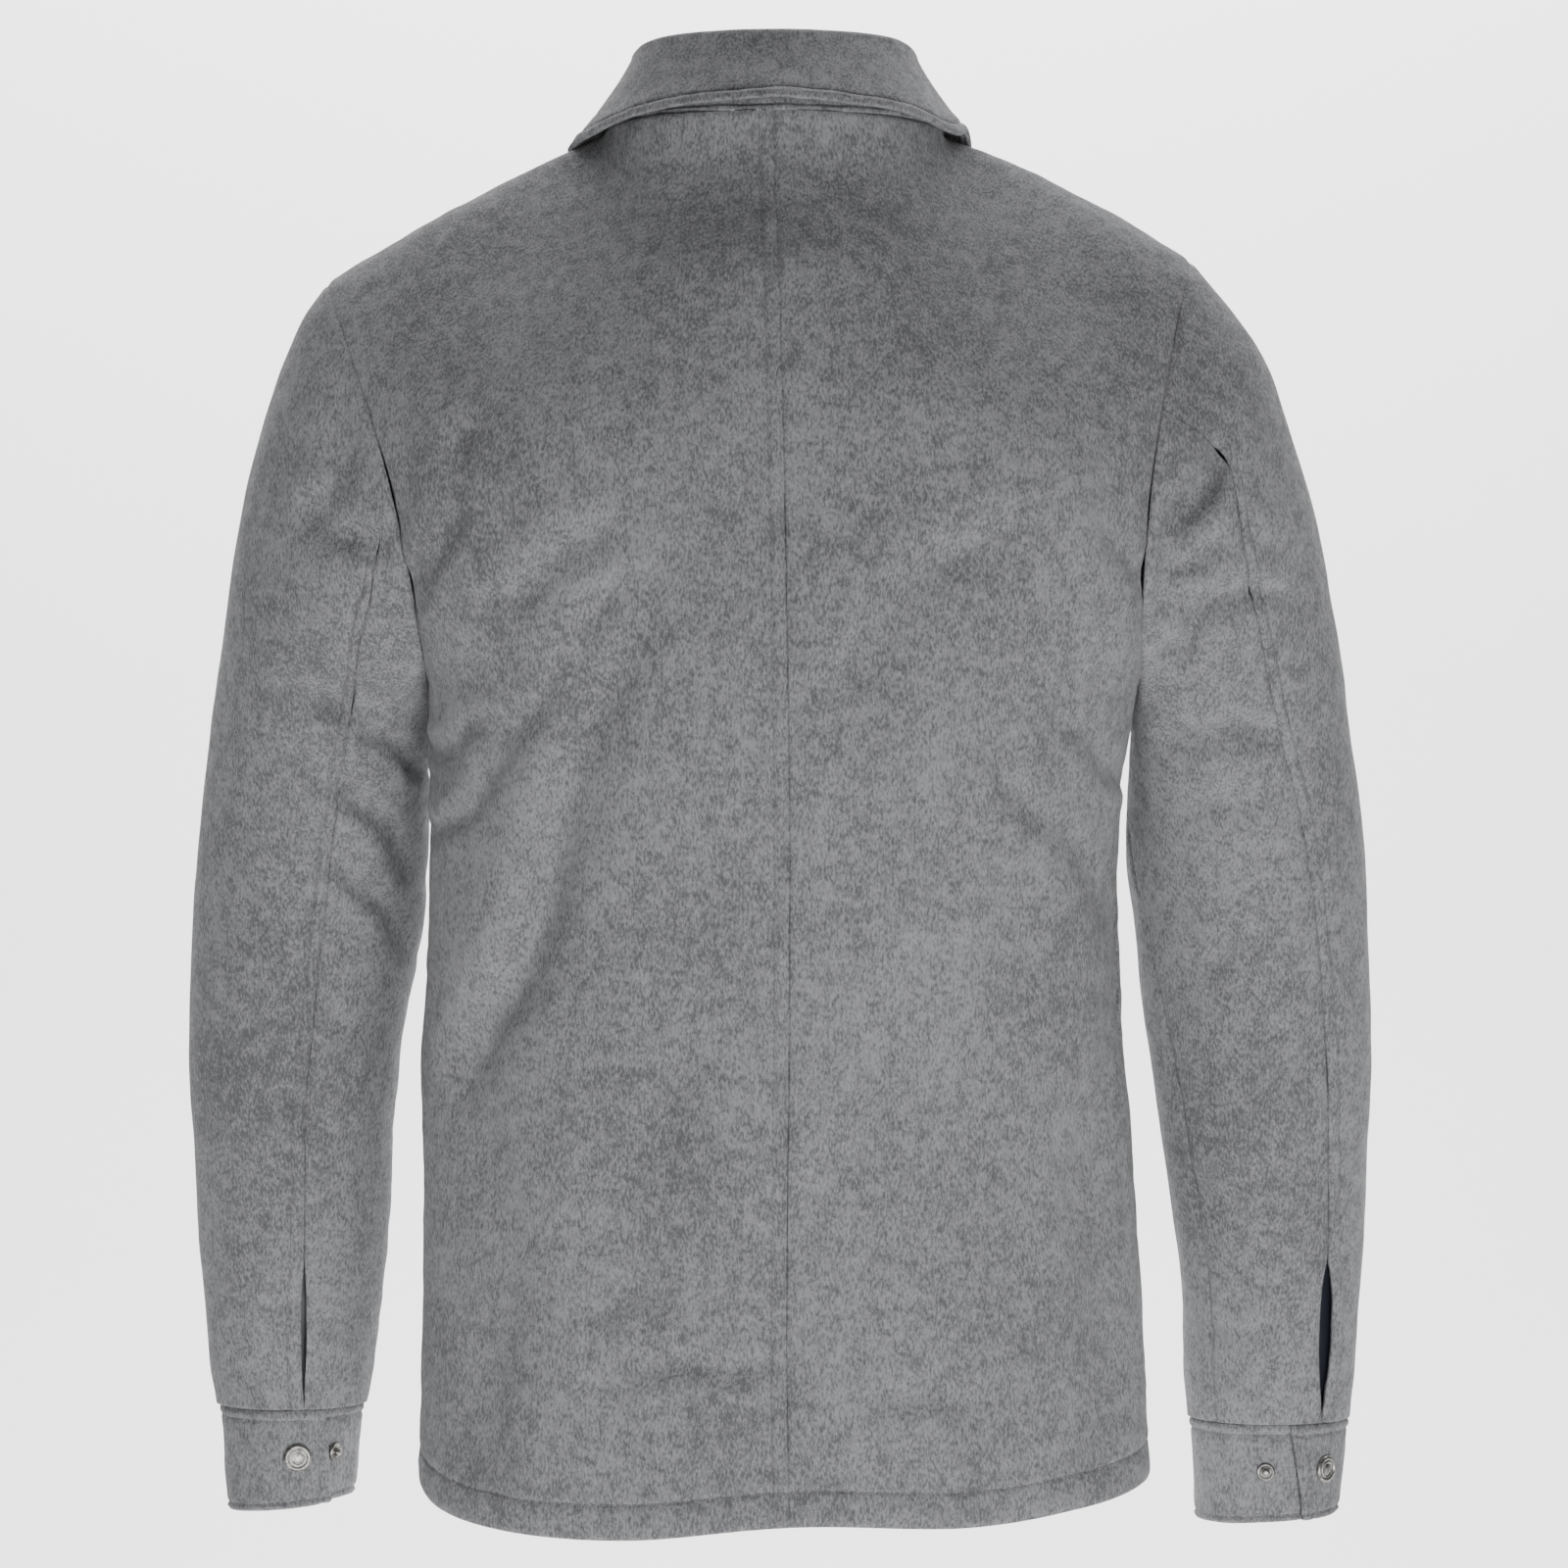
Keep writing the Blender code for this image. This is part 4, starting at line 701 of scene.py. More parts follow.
SLEEVE_CREASES = (
    (-0.216, -0.322, -0.196, -0.336, 0.0045, -0.0034),
    (-0.226, -0.352, -0.204, -0.384, 0.0055, -0.0040),
    (-0.226, -0.398, -0.206, -0.428, 0.0055, -0.0034),
    (-0.262, -0.300, -0.222, -0.305, 0.0060, -0.0020),
    (-0.252, -0.340, -0.232, -0.352, 0.0060, -0.0013),
    (-0.240, -0.470, -0.216, -0.486, 0.0070, -0.0013),
    (-0.270, -0.520, -0.232, -0.536, 0.0090, -0.0012),
    (-0.262, -0.630, -0.238, -0.640, 0.0060, -0.0012),
    (-0.240, -0.212, -0.212, -0.228, 0.0070, -0.0032),
    (-0.225, -0.150, -0.236, -0.200, 0.0090, -0.0028),
    (0.222, -0.182, 0.196, -0.228, 0.0065, -0.0075),
    (0.218, -0.228, 0.198, -0.243, 0.0050, -0.0034),
    (0.252, -0.249, 0.196, -0.254, 0.0055, -0.0034),
    (0.212, -0.270, 0.190, -0.284, 0.0065, -0.0070),
    (0.250, -0.206, 0.260, -0.214, 0.0050, 0.0014),
    (0.250, -0.321, 0.212, -0.323, 0.0060, -0.0030),
    (0.240, -0.357, 0.216, -0.360, 0.0060, -0.0014),
    (0.246, -0.430, 0.222, -0.440, 0.0080, -0.0012),
    (0.258, -0.560, 0.230, -0.572, 0.0090, -0.0011),
    (0.262, -0.640, 0.238, -0.646, 0.0060, -0.0012),
)


def seam_angles(table, place):
    """Angles of the back seam and of the front seam at a place down the sleeve."""
    rows = np.arange(len(table), dtype=float)
    seam_at = through(rows, column(table, SLEEVE_COLUMNS, "seam_at"), place)
    under = through(rows, column(table, SLEEVE_COLUMNS, "under"), place)
    back = -math.degrees(math.acos(1 - 2 * seam_at))
    return back, back - under


def sleeve_grid(sign, piece):
    """Points of the upper or under sleeve: rows down the arm, columns round."""
    side = "left" if sign < 0 else "right"
    table = LEFT_SLEEVE if sign < 0 else RIGHT_SLEEVE
    around = 2 * ARMHOLE_COLUMNS
    columns = UNDER_COLUMNS if piece == "under" else around - UNDER_COLUMNS
    vent = VENTS[side]
    grid = []
    for j in range(SLEEVE_RINGS + 1):
        place = (len(table) - 1) * j / SLEEVE_RINGS
        back, front = seam_angles(table, place)
        back_height = sleeve_at(table, place, back)[2]
        end_height = sleeve_at(table, len(table) - 1.0, back)[2]
        down = np.clip((vent["top"] - back_height) / (vent["top"] - end_height), 0.0, 1.0)
        opening = vent["gap"] / 2 * math.sin(math.pi * down**0.8)
        radius = np.linalg.norm(sleeve_at(table, place, back) - sleeve_at(table, place, back + 180)) / 2
        part = math.degrees(opening / radius)
        first, last = (back - part, front) if piece == "under" else (back + part, front + 360.0)
        row = []
        for i in range(columns + 1):
            angle = first + (last - first) * i / columns
            point = sleeve_at(table, place, angle)
            turn = math.sin(math.radians(angle))
            folds = SLEEVE_FOLDS if turn < 0 else SLEEVE_FRONT_FOLDS
            push = fold_amount(point[0], point[2], folds) * smooth(abs(turn) * 1.6)
            push *= smooth(j / SLEEVE_TOP_RINGS)
            point[1] += push * math.copysign(1.0, turn)
            if j == 0 and abs(angle + 180.0) < ARMPIT_EASE_ANGLE:
                point += np.array([sign * ARMPIT_EASE, 0.0, -ARMPIT_EASE])
            row.append(point)
        grid.append(row)
    return np.array(grid)


# The nap covers the seams of the sleeves this far below the armhole, and their stitches further
NAPPED_OVER = 0.035
STITCHES_SHOW = 0.056
sleeve_lines = []
for sign, side in ((-1, "left"), (1, "right")):
    for piece_name, steps, by_start in (("upper", 78, BY_TOPSTITCH), ("under", 30, BY_SEAM)):
        coarse = sleeve_grid(sign, piece_name)
        grid = refine(coarse, marks(BY_SEAM, BY_SEAM, 150), marks(by_start, BY_SEAM, steps))
        centre = len(grid) // 2, len(grid[0]) // 2
        outward = grid[centre] - coarse[len(coarse) // 2].mean(axis=0)
        facing = 1 if grid_normals(grid, 1)[centre].dot(outward) > 0 else -1
        seed = 50 + 4 * sign + steps
        away = edge_distances(grid)
        relief = creases(grid, SLEEVE_CREASES)
        relief += 0.0008 * uneven(grid, 0.055, seed) + 0.00025 * uneven(grid, 0.018, seed + 1)
        relief *= smooth(away["bottom"] / 0.03) * smooth(away["top"] / 0.012)
        sewn = seam(away["start"], grid, seed + 2) + seam(away["end"], grid, seed + 3)
        if piece_name == "upper":
            sewn += topstitch(away["start"], TOPSTITCH, grid, seed + 5)
        relief += sewn * smooth((away["bottom"] - NAPPED_OVER) / NAPPED_OVER)
        relief += seam(away["bottom"], grid, seed + 4)
        points, normals = cloth_piece(f"{piece_name}_sleeve_cloth_{side}", grid, facing, relief,
                                      WALL, wool, f"{piece_name}_sleeve_{side}")
        if piece_name == "upper":
            column_at = BY_TOPSTITCH.index(TOPSTITCH)
            shown = int(np.argmax(away["bottom"][:, column_at] > STITCHES_SHOW))
            sleeve_lines.append((points[shown:, column_at], normals[shown:, column_at]))
stitches("sleeve_stitches", sleeve_lines, thread)

# Inside each vent a strip of satin lining shows, dark navy, sewn in behind the opening.
LINING_WALL = 0.0012
LINING_INSET = 0.0035
LINING_HALF_ANGLE = 38.0
LINING_SECTIONS = (3.2, 0.05)


def lining_grid(sign):
    """Outer points of the sleeve lining where the vent shows it."""
    table = LEFT_SLEEVE if sign < 0 else RIGHT_SLEEVE
    last = len(table) - 1.0
    grid = []
    first, final = LINING_SECTIONS
    for place in np.linspace(last - first, last - final, 9):
        back, _ = seam_angles(table, place)
        row = []
        for offset in np.linspace(-LINING_HALF_ANGLE, LINING_HALF_ANGLE, 9):
            point = sleeve_at(table, place, back + offset)
            opposite = sleeve_at(table, place, back + offset + 180.0)
            row.append(point + unit(opposite - point) * (WALL + LINING_INSET))
        grid.append(row)
    return np.array(grid)


def satin_material():
    """Dark satin with a smooth shine along its threads."""
    made = bpy.data.materials.new("lining_satin")
    made.use_nodes = True
    links = made.node_tree.links
    shader = made.node_tree.nodes["Principled BSDF"]
    place = new_node(made, "ShaderNodeTexCoord")
    threads = new_node(made, "ShaderNodeMapping", Scale=(1.0, 1.0, 12.0))
    weave = new_node(made, "ShaderNodeTexNoise", Scale=600.0, Detail=2.0)
    colours = made.node_tree.nodes.new("ShaderNodeValToRGB")
    colours.color_ramp.elements[0].color = (0.010, 0.011, 0.018, 1.0)
    colours.color_ramp.elements[1].color = (0.026, 0.028, 0.044, 1.0)
    links.new(place.outputs["Object"], threads.inputs["Vector"])
    links.new(threads.outputs["Vector"], weave.inputs["Vector"])
    links.new(weave.outputs["Fac"], colours.inputs["Fac"])
    links.new(colours.outputs["Color"], shader.inputs["Base Color"])
    shader.inputs["Roughness"].default_value = 0.42
    return made


satin = satin_material()
for sign, side in ((-1, "left"), (1, "right")):
    coarse = lining_grid(sign)
    grid = refine(coarse, marks((0.0,), (0.0,), 40), marks((0.0,), (0.0,), 24))
    relief = 0.0006 * uneven(grid, 0.02, 90 + sign)
    cloth_piece(f"sleeve_lining_satin_{side}", grid, -sign, relief, LINING_WALL, satin,
                f"sleeve_lining_{side}")

# The collar is a stand sewn round the neck and a leaf folded over it, both doubled wool, topstitched
# near their edges. The leaf's right side has sprung a little off the stand.
STAND_HEIGHT = 0.0395
STAND_LEAN = 0.58
STAND_FRONT_LEAN = 0.40
STAND_FRONT_HEIGHT = 0.030
FOLD_RADIUS = 0.0045
COLLAR_END_ANGLE = 178.0
FRONT_STAND_CLEAR = 0.0030
STAND_LIFT_LEFT = 150.0
STAND_LIFT_RIGHT = 110.0
STAND_LIFT_TAKES = 20.0
ROLL_FRONT_CLEAR = 0.0016
LAY_CLEAR = 0.0016
LAY_BESIDE = 0.008
STAND_STITCH = 0.0040
LEAF_STITCH = 0.0070
ROLL_STEPS = 4 * FINER
FALL_STEPS = 5 * FINER
LEAF_ROWS = 32 * FINER + 1

# The collar leaf's edge, measured from the collar seam: out from the neck, and up
LEAF_COLUMNS = ("angle", "out", "up")
LEAF_LEFT = (
    (0.0, 0.0085, 0.0068),
    (45.0, 0.0120, 0.0000),
    (68.0, 0.0155, -0.0068),
    (90.0, 0.0185, -0.0070),
    (125.0, 0.0270, -0.0340),
    (150.0, 0.0380, -0.0540),
    (164.0, 0.0370, -0.0500),
    (178.0, 0.0340, -0.0360),
)
LEAF_RIGHT = (
    (0.0, 0.0085, 0.0068),
    (45.0, 0.0115, 0.0002),
    (68.0, 0.0135, -0.0060),
    (90.0, 0.0145, 0.0005),
    (125.0, 0.0270, -0.0310),
    (150.0, 0.0380, -0.0540),
    (164.0, 0.0370, -0.0500),
    (178.0, 0.0340, -0.0360),
)


def collar_stand_point(angle, rise):
    """Outer point of the stand above the collar seam. rise goes from 0 to 1."""
    seam = neck_point(angle)
    turn = math.radians(angle)
    forward = (1 - math.cos(turn)) / 2
    height = STAND_HEIGHT + (STAND_FRONT_HEIGHT - STAND_HEIGHT) * forward**2
    lean = STAND_LEAN + (STAND_FRONT_LEAN - STAND_LEAN) * forward**2
    inward = unit(np.array([NECK_MIDDLE_X, NECK_MIDDLE_Y, 0.0]) - seam * np.array([1.0, 1.0, 0.0]))
    return seam + inward * lean * height * rise + np.array([0.0, 0.0, height * rise])


def collar_leaf_row(angle):
    """Outer and inner points of the leaf at one angle, from inside the neck, over the roll, to
    the edge. Inner points are given for the roll alone."""
    table = LEAF_LEFT if angle < 0 else LEAF_RIGHT
    angles = column(table, LEAF_COLUMNS, "angle")
    out = through(angles, column(table, LEAF_COLUMNS, "out"), abs(angle))
    up = through(angles, column(table, LEAF_COLUMNS, "up"), abs(angle))
    seam = neck_point(angle)
    outward = unit((seam - np.array([NECK_MIDDLE_X, NECK_MIDDLE_Y, 0.0])) * np.array([1.0, 1.0, 0.0]))
    stand_top = collar_stand_point(angle, 1.0)
    above = SEAM_GAP + ROLL_FRONT_CLEAR * (1 - math.cos(math.radians(angle))) / 2
    centre = stand_top + outward * (FOLD_RADIUS - WALL) + np.array([0.0, 0.0, above])
    row = []
    roll_inside = []
    for i in range(ROLL_STEPS + 1):
        turn = math.pi * i / ROLL_STEPS
        offset = -outward * math.cos(turn) + np.array([0.0, 0.0, math.sin(turn)])
        row.append(centre + offset * FOLD_RADIUS)
        roll_inside.append(centre + offset * (FOLD_RADIUS - WALL))
    edge = seam + outward * out + np.array([0.0, 0.0, up])
    start = row[-1]
    bend = start * 0.55 + edge * 0.45
    bend[:2] = (start * 0.70 + edge * 0.30)[:2]
    for i in range(1, FALL_STEPS + 1):
        t = i / FALL_STEPS
        row.append(start * (1 - t)**2 + bend * 2 * t * (1 - t) + edge * t**2)
    return row, roll_inside


def surface_tree(panels):
    """The outer faces of some panels, to lay other pieces on."""
    points = []
    faces = []
    for grid, facing in panels:
        rows, columns = grid.shape[:2]
        start = len(points)
        points.extend(Vector(point) for point in grid.reshape(-1, 3))
        for i in range(rows - 1):
            for j in range(columns - 1):
                first = start + i * columns + j
                face = (first, first + 1, first + columns + 1, first + columns)
                faces.append(face if facing > 0 else face[::-1])
    return BVHTree.FromPolygons(points, faces)


def lift_clear(point, tree, clearance):
    """Move a point out from the cloth below it until it is clear of it. A point beside the cloth,
    past its edge, moves less."""
    near, normal, _, _ = tree.find_nearest(Vector(point))
    near = np.array(near)
    normal = np.array(normal)
    height = (point - near).dot(normal)
    aside = np.linalg.norm(point - near - normal * height)
    if height < clearance:
        point = point + normal * (clearance - height) * (1 - smooth(aside / LAY_BESIDE))
    return point


def lay_leaf(leaf, body_tree):
    """Rest the fall of the leaf on the panels."""
    for row in leaf:
        for i in range(ROLL_STEPS + 1, len(row)):
            row[i] = lift_clear(row[i], body_tree, WALL + LAY_CLEAR)


BY_FOLD = (0.0, 0.0015)
BY_STAND = (0.0, 0.0010, 0.0022, 0.0033, 0.0040, 0.0047, 0.0060)
BY_LEAF = (0.0, 0.0008, 0.0018, 0.0034, 0.0052, 0.0063, 0.0070, 0.0077, 0.0090)
angles = [-COLLAR_END_ANGLE] + neck_angles("front", -1)[1:-1] + neck_angles("back", -1)[::-1]
angles += neck_angles("back", 1)[1:] + neck_angles("front", 1)[1:-1][::-1] + [COLLAR_END_ANGLE]
stand = np.array([[collar_stand_point(angle, rise) for angle in angles]
                  for rise in np.linspace(0.0, 1.0, 6)])
for point, angle in zip(stand[0], angles):
    first_lifted = STAND_LIFT_RIGHT if angle > 0 else STAND_LIFT_LEFT
    point[2] += FRONT_STAND_CLEAR * smooth((abs(angle) - first_lifted) / STAND_LIFT_TAKES)
grid = refine(stand, marks(BY_STAND, BY_FOLD, 8), marks(BY_FOLD, BY_FOLD, 170))
away = edge_distances(grid)
relief = seam(away["bottom"], grid, 110) + topstitch(away["bottom"], STAND_STITCH, grid, 112)
points, normals = cloth_piece("collar_stand_cloth", grid, 1, relief, WALL, wool, "collar_stand")
collar_lines = [(points[BY_STAND.index(STAND_STITCH)], normals[BY_STAND.index(STAND_STITCH)])]

body_tree = surface_tree(panel_points.values())
leaf = np.array([collar_leaf_row(angle)[0]
                 for angle in np.linspace(-COLLAR_END_ANGLE, COLLAR_END_ANGLE, LEAF_ROWS)])
lay_leaf(leaf, body_tree)
grid = refine(leaf, marks(BY_LEAF, BY_LEAF, 190), marks(BY_FOLD, BY_LEAF, 34))
away = edge_distances(grid)
ends = np.minimum(away["bottom"], away["top"])
relief = 0.0005 * uneven(grid, 0.040, 120) + 0.0002 * uneven(grid, 0.014, 121)
relief *= smooth(away["start"] / 0.02)
relief += topstitch(away["end"], LEAF_STITCH, grid, 122) + raw_edge(away["end"])
relief += topstitch(ends, LEAF_STITCH, grid, 124) * smooth((away["start"] - 0.012) / 0.006) + raw_edge(ends)
points, normals = cloth_piece("collar_leaf_cloth", grid, 1, relief, WALL, wool, "collar_leaf")
column_at = -1 - BY_LEAF.index(LEAF_STITCH)
row_at = BY_LEAF.index(LEAF_STITCH)
collar_lines.append((points[row_at:-row_at, column_at], normals[row_at:-row_at, column_at]))
for end_row in (row_at, -1 - row_at):
    collar_lines.append((points[end_row, 14:column_at], normals[end_row, 14:column_at]))
stitches("collar_stitches", collar_lines, thread)

# Each cuff is a band of doubled wool round the wrist, left unfastened so that its end stands open
# under the vent. It is topstitched along both edges and across its end.
CUFF_WALL = 0.003
CUFF_TUCK = 0.0012
CUFF_TUCK_STARTS = 75.0
CUFF_TUCK_TAKES = 38.0
CUFF_SNAP_DROP = 0.48
CUFF_COLUMNS = 26 * FINER
CUFF_ROWS = 3 * FINER
CUFF_TOP_STITCH = 0.0060
CUFF_HEM_STITCH = 0.0036

# Cuffs, unfastened. Angles go round the wrist from its outer side (0), negative at the back.
# flap: end of the upper lap. tuck: end of the under lap. cap, stud: snap halves.
CUFFS = {
    "left": {"top": (-0.2700, 0.0875, -0.6860), "bottom": (-0.2700, 0.0900, -0.7400),
             "top_half": (0.0392, 0.0420), "bottom_half": (0.0345, 0.0405),
             "flap": -131.0, "tuck": -108.0, "cap": -101.0, "stud": -141.0,
             "slant": -0.0035, "flap_slant": 13.0},
    "right": {"top": (0.2655, 0.0875, -0.6938), "bottom": (0.2650, 0.0900, -0.7475),
              "top_half": (0.0430, 0.0430), "bottom_half": (0.0392, 0.0415),
              "flap": -72.0, "tuck": -60.0, "cap": -47.0, "stud": -97.0,
              "slant": 0.002, "flap_slant": -14.0},
}


def cuff_point(side, angle, drop, depth=0.0):
    """Point of a cuff: angle round the wrist, drop from its top (0) to its bottom (1)."""
    cuff = CUFFS[side]
    centre = np.array(cuff["top"]) * (1 - drop) + np.array(cuff["bottom"]) * drop
    half = np.array(cuff["top_half"]) * (1 - drop) + np.array(cuff["bottom_half"]) * drop
    outward = -1.0 if side == "left" else 1.0
    turn = math.radians(angle)
    normal = np.array([outward * math.cos(turn), math.sin(turn), 0.0])
    point = centre + np.array([outward * half[0] * math.cos(turn), half[1] * math.sin(turn), 0.0])
    point[2] += cuff["slant"] * math.cos(turn) * drop
    return point - normal * depth


def cuff_grid(side):
    """Outer points of a cuff: from its flap end round the wrist to its tucked end."""
    cuff = CUFFS[side]
    last = cuff["tuck"] + 360.0
    grid = []
    for j in range(CUFF_ROWS + 1):
        drop = j / CUFF_ROWS
        first = cuff["flap"] - cuff["flap_slant"] * (drop - 0.5)
        row = []
        for i in range(CUFF_COLUMNS + 1):
            angle = first + (last - first) * i / CUFF_COLUMNS
            tucked = smooth((CUFF_TUCK_STARTS - (last - angle)) / CUFF_TUCK_TAKES)
            tuck = (CUFF_WALL + CUFF_TUCK) * tucked
            row.append(cuff_point(side, angle, drop, tuck))
        grid.append(row)
    return np.array(grid)


BY_CUFF_TOP = (0.0, 0.0010, 0.0022, 0.0040, 0.0053, 0.0060, 0.0067, 0.0080)
BY_CUFF_HEM = (0.0, 0.0008, 0.0018, 0.0029, 0.0036, 0.0043, 0.0055)
cuff_lines = []
for sign, side in ((-1, "left"), (1, "right")):
    grid = refine(cuff_grid(side), marks(BY_CUFF_TOP, BY_CUFF_HEM, 13), marks(BY_TOPSTITCH, BY_LEAF, 86))
    away = edge_distances(grid)
    relief = 0.0006 * uneven(grid, 0.030, 140 + sign) + 0.0002 * uneven(grid, 0.010, 141 + sign)
    relief += topstitch(away["bottom"], CUFF_TOP_STITCH, grid, 142) + raw_edge(away["bottom"])
    relief += topstitch(away["top"], CUFF_HEM_STITCH, grid, 144) + raw_edge(away["top"])
    relief += topstitch(away["start"], TOPSTITCH, grid, 146) + raw_edge(away["start"])
    points, normals = cloth_piece(f"cuff_cloth_{side}", grid, -sign, relief, CUFF_WALL, wool,
                                  f"cuff_{side}")
    first_row = BY_CUFF_TOP.index(CUFF_TOP_STITCH)
    last_row = -1 - BY_CUFF_HEM.index(CUFF_HEM_STITCH)
    column_at = BY_TOPSTITCH.index(TOPSTITCH)
    cuff_lines.append((points[first_row, column_at:], normals[first_row, column_at:]))
    cuff_lines.append((points[last_row, column_at:], normals[last_row, column_at:]))
    cuff_lines.append((points[first_row:last_row, column_at], normals[first_row:last_row, column_at]))
stitches("cuff_stitches", cuff_lines, thread)

# The snaps are pressed brass in an antique nickel finish. A plain cap with turned rings shows on each
# upper lap, and a bare stud with a round post on the lap below.
SNAP_DIAMETER = 0.015
STUD_DIAMETER = 0.0098
SNAP_SIDES = 48
SNAP_SHARP_ANGLE = 40.0
FRONT_SNAPS = 6
FIRST_SNAP_HEIGHT = -0.130
LAST_SNAP_HEIGHT = -0.665
CAP_RADIUS = SNAP_DIAMETER / 2
CAP_RINGS = (
    (0.0, 0.0), (0.98, 0.0), (1.00, 0.0002), (1.00, 0.0009), (0.97, 0.0014), (0.91, 0.00185),
    (0.84, 0.00205), (0.77, 0.00205), (0.72, 0.0019), (0.69, 0.0015), (0.66, 0.0014), (0.62, 0.0014),
    (0.59, 0.00155), (0.56, 0.0018), (0.50, 0.00185), (0.46, 0.0017), (0.43, 0.00155), (0.38, 0.00165),
    (0.25, 0.00185), (0.10, 0.00195), (0.0, 0.00197),
)
STUD_RADIUS = STUD_DIAMETER / 2
STUD_RINGS = (
    (0.0, 0.0), (0.98, 0.0), (1.00, 0.0002), (1.00, 0.0008), (0.95, 0.0013), (0.86, 0.0017),
    (0.76, 0.0017), (0.68, 0.0014), (0.60, 0.0009), (0.50, 0.0008), (0.44, 0.0011), (0.41, 0.0020),
    (0.42, 0.0028), (0.38, 0.0033), (0.28, 0.0036), (0.12, 0.0038), (0.0, 0.0038),
)


def snap_material():
    """Antique nickel: brushed, and darker where handling hasn't polished it."""
    made = bpy.data.materials.new("antique_nickel")
    made.use_nodes = True
    links = made.node_tree.links
    shader = made.node_tree.nodes["Principled BSDF"]
    place = new_node(made, "ShaderNodeTexCoord")
    worn = new_node(made, "ShaderNodeTexNoise", Scale=420.0, Detail=4.0, Roughness=0.65)
    colours = made.node_tree.nodes.new("ShaderNodeValToRGB")
    colours.color_ramp.elements[0].position = 0.35
    colours.color_ramp.elements[0].color = (0.16, 0.155, 0.15, 1.0)
    colours.color_ramp.elements[1].position = 0.62
    colours.color_ramp.elements[1].color = (0.46, 0.45, 0.43, 1.0)
    rough = made.node_tree.nodes.new("ShaderNodeMapRange")
    rough.inputs["To Min"].default_value = 0.28
    rough.inputs["To Max"].default_value = 0.50
    links.new(place.outputs["Object"], worn.inputs["Vector"])
    links.new(worn.outputs["Fac"], colours.inputs["Fac"])
    links.new(colours.outputs["Color"], shader.inputs["Base Color"])
    links.new(worn.outputs["Fac"], rough.inputs["Value"])
    links.new(rough.outputs["Result"], shader.inputs["Roughness"])
    shader.inputs["Metallic"].default_value = 1.0
    return made


def snap_half(name, rings, radius, point, normal, finish, node):
    """A turned half of a snap: discs on one axis, each ring given its radius and its height."""
    bm = bmesh.new()
    bmesh.ops.create_circle(bm, cap_ends=False, segments=SNAP_SIDES, radius=radius * rings[1][0])
    edges = bm.edges[:]
    bmesh.ops.contextual_create(bm, geom=edges)
    for share, height in rings[2:-1]:
        grown = bmesh.ops.extrude_edge_only(bm, edges=edges)["geom"]
        verts = [item for item in grown if isinstance(item, bmesh.types.BMVert)]
        edges = [item for item in grown if isinstance(item, bmesh.types.BMEdge)]
        for vert in verts:
            flat = vert.co.xy.normalized() * radius * share
            vert.co = (flat.x, flat.y, height)
    bmesh.ops.contextual_create(bm, geom=edges)
    turn = Vector((0, 0, 1)).rotation_difference(Vector(normal)).to_matrix().to_4x4()
    bmesh.ops.transform(bm, matrix=Matrix.Translation(Vector(point)) @ turn, verts=bm.verts[:])
    bmesh.ops.recalc_face_normals(bm, faces=bm.faces[:])
    piece = smooth_object(name, bm, finish)
    piece.data.set_sharp_from_angle(angle=math.radians(SNAP_SHARP_ANGLE))
    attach(piece, "root")
    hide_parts(node)


def cuff_snap(side, angle, depth=0.0):
    """Where a snap half stands on a cuff, and which way it faces."""
    middle = CUFF_SNAP_DROP
    point = cuff_point(side, angle, middle, depth)
    around = cuff_point(side, angle + 3, middle) - cuff_point(side, angle - 3, middle)
    down = cuff_point(side, angle, middle + 0.2) - cuff_point(side, angle, middle - 0.2)
    normal = unit(np.cross(around, down))
    normal = normal * math.copysign(1.0, normal.dot(point - cuff_point(side, angle + 180, middle)))
    return point + normal * SEAM_GAP, normal


nickel = snap_material()
for side in ("left", "right"):
    point, normal = cuff_snap(side, CUFFS[side]["cap"])
    snap_half(f"cuff_snap_cap_{side}", CAP_RINGS, CAP_RADIUS, point, normal, nickel, f"cuff_cap_{side}")
    point, normal = cuff_snap(side, CUFFS[side]["stud"], CUFF_WALL + CUFF_TUCK)
    snap_half(f"cuff_snap_stud_{side}", STUD_RINGS, STUD_RADIUS, point, normal, nickel,
              f"cuff_stud_{side}")
front_tree = surface_tree([panel_points["front_left"]])
for i in range(FRONT_SNAPS):
    height = FIRST_SNAP_HEIGHT + (LAST_SNAP_HEIGHT - FIRST_SNAP_HEIGHT) * i / (FRONT_SNAPS - 1)
    start = Vector((body_at(height)["seam"], 0.3, height))
    point, normal, _, _ = front_tree.ray_cast(start, Vector((0, -1, 0)))
    snap_half(f"front_snap_cap_{i + 1}", CAP_RINGS, CAP_RADIUS, point + normal * SEAM_GAP, normal, nickel,
              f"front_cap_{i + 1}")

# The studio is a pale floor that curves up behind into a wall, lit by large soft lights.
FLOOR_HEIGHT = -1.550
FLOOR_FRONT = -6.0
WALL_START = 2.2
WALL_RADIUS = 1.2
WALL_TOP = 4.0
FLOOR_HALF_WIDTH = 6.0
bm = bmesh.new()
FLOOR_STEPS = 40
bmesh.ops.create_grid(bm, x_segments=2, y_segments=FLOOR_STEPS, size=1)
bend_length = WALL_RADIUS * math.pi / 2
floor_length = WALL_START - FLOOR_FRONT
whole = floor_length + bend_length + WALL_TOP
for vert in bm.verts:
    run = (vert.co.y + 1) / 2 * whole
    vert.co.x *= FLOOR_HALF_WIDTH
    bend = min(max(run - floor_length, 0.0), bend_length) / WALL_RADIUS
    vert.co.y = FLOOR_FRONT + min(run, floor_length) + WALL_RADIUS * math.sin(bend)
    vert.co.z = FLOOR_HEIGHT + WALL_RADIUS * (1 - math.cos(bend)) + max(run - floor_length - bend_length, 0.0)
floor_mesh = bpy.data.meshes.new("floor")
bm.to_mesh(floor_mesh)
bm.free()
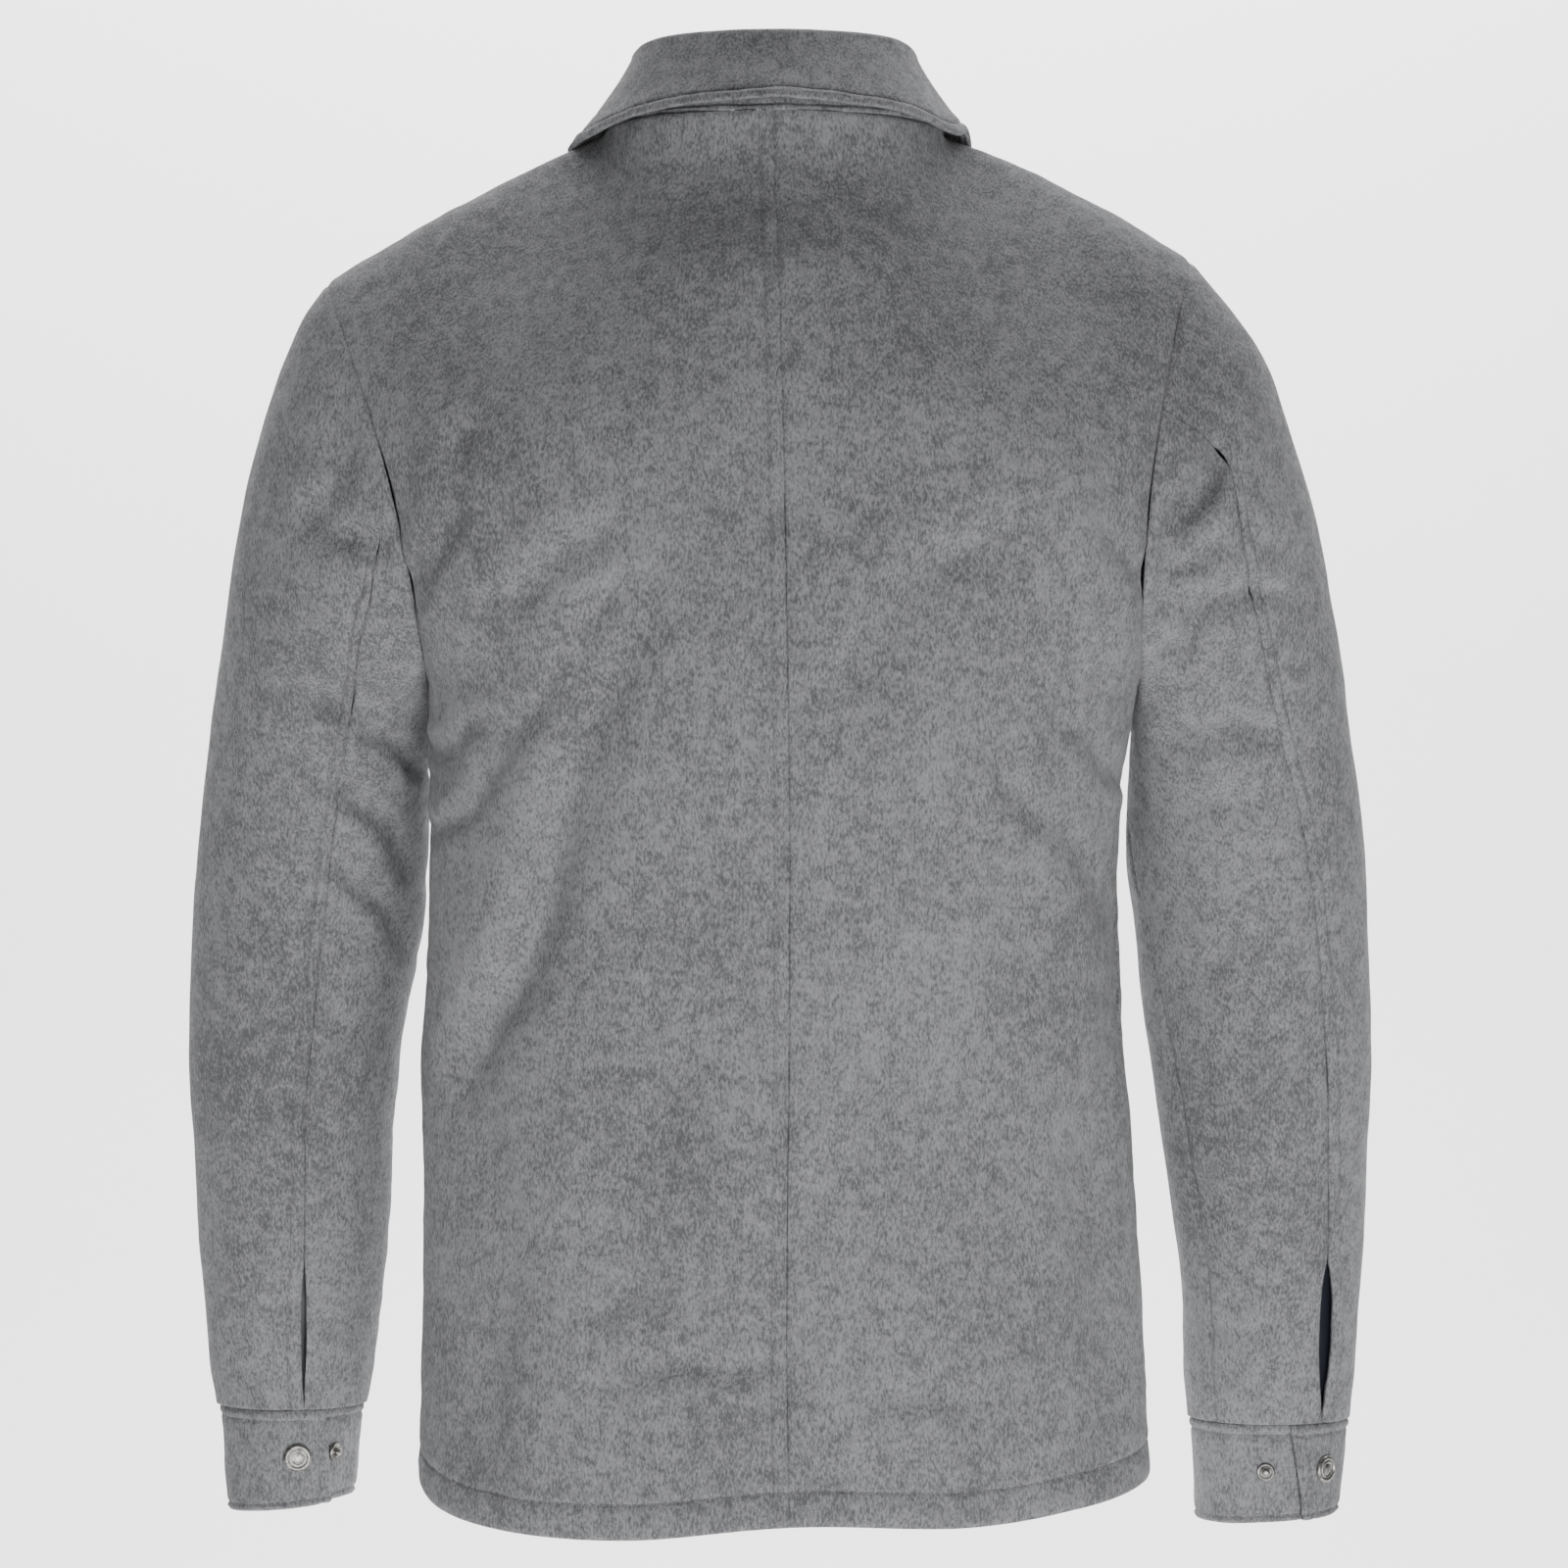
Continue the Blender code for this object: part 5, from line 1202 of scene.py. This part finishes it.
floor_mesh.shade_smooth()
paper = bpy.data.materials.new("pale_paper")
paper.use_nodes = True
paper.node_tree.nodes["Principled BSDF"].inputs["Base Color"].default_value = (0.90, 0.90, 0.90, 1.0)
paper.node_tree.nodes["Principled BSDF"].inputs["Roughness"].default_value = 0.9
paper.node_tree.nodes["Principled BSDF"].inputs["Specular IOR Level"].default_value = 0.1
floor_mesh.materials.append(paper)
floor = bpy.data.objects.new("floor", floor_mesh)
bpy.context.collection.objects.link(floor)

LIGHTS = (
    ("low_left_box", (-0.45, -2.2, -1.38), 0.8, 15.0),
    ("low_right_box", (0.80, -2.1, -1.34), 0.8, 30.0),
    ("front_box", (0.1, -3.6, -0.7), 1.2, 14.0),
    ("top_box", (0.0, -0.8, 2.4), 1.6, 1.5),
)
JACKET_MIDDLE = Vector((0.0, 0.0, -0.35))
for name, place, size, power in LIGHTS:
    light = bpy.data.lights.new(name, "AREA")
    light.shape = "DISK"
    light.size = size
    light.energy = power
    lamp = bpy.data.objects.new(name, light)
    lamp.location = place
    lamp.rotation_euler = (JACKET_MIDDLE - Vector(place)).to_track_quat("-Z", "Y").to_euler()
    bpy.context.collection.objects.link(lamp)
light = bpy.data.lights.new("backdrop", "AREA")
light.size = 4.0
light.energy = 640.0
lamp = bpy.data.objects.new("backdrop", light)
lamp.location = (0.0, 1.6, 2.6)
lamp.rotation_euler = (math.radians(50), 0.0, 0.0)
bpy.context.collection.objects.link(lamp)
world = bpy.data.worlds.new("studio")
world.use_nodes = True
world.node_tree.nodes["Background"].inputs["Color"].default_value = (1.0, 1.0, 1.0, 1.0)
world.node_tree.nodes["Background"].inputs["Strength"].default_value = 0.07
bpy.context.scene.world = world

CAMERA_DISTANCE = 2.6
CAMERA_HEIGHT = -0.3476
FRAME_WIDTH = 0.832
SENSOR = 36.0
camera_data = bpy.data.cameras.new("camera")
camera_data.sensor_width = SENSOR
camera_data.sensor_fit = "HORIZONTAL"
camera_data.lens = SENSOR * CAMERA_DISTANCE / FRAME_WIDTH
camera = bpy.data.objects.new("camera", camera_data)
camera.location = (0.0, -CAMERA_DISTANCE, CAMERA_HEIGHT)
camera.rotation_euler = (math.radians(90), 0.0, 0.0)
bpy.context.collection.objects.link(camera)
bpy.context.scene.camera = camera

bpy.context.view_layer.update()
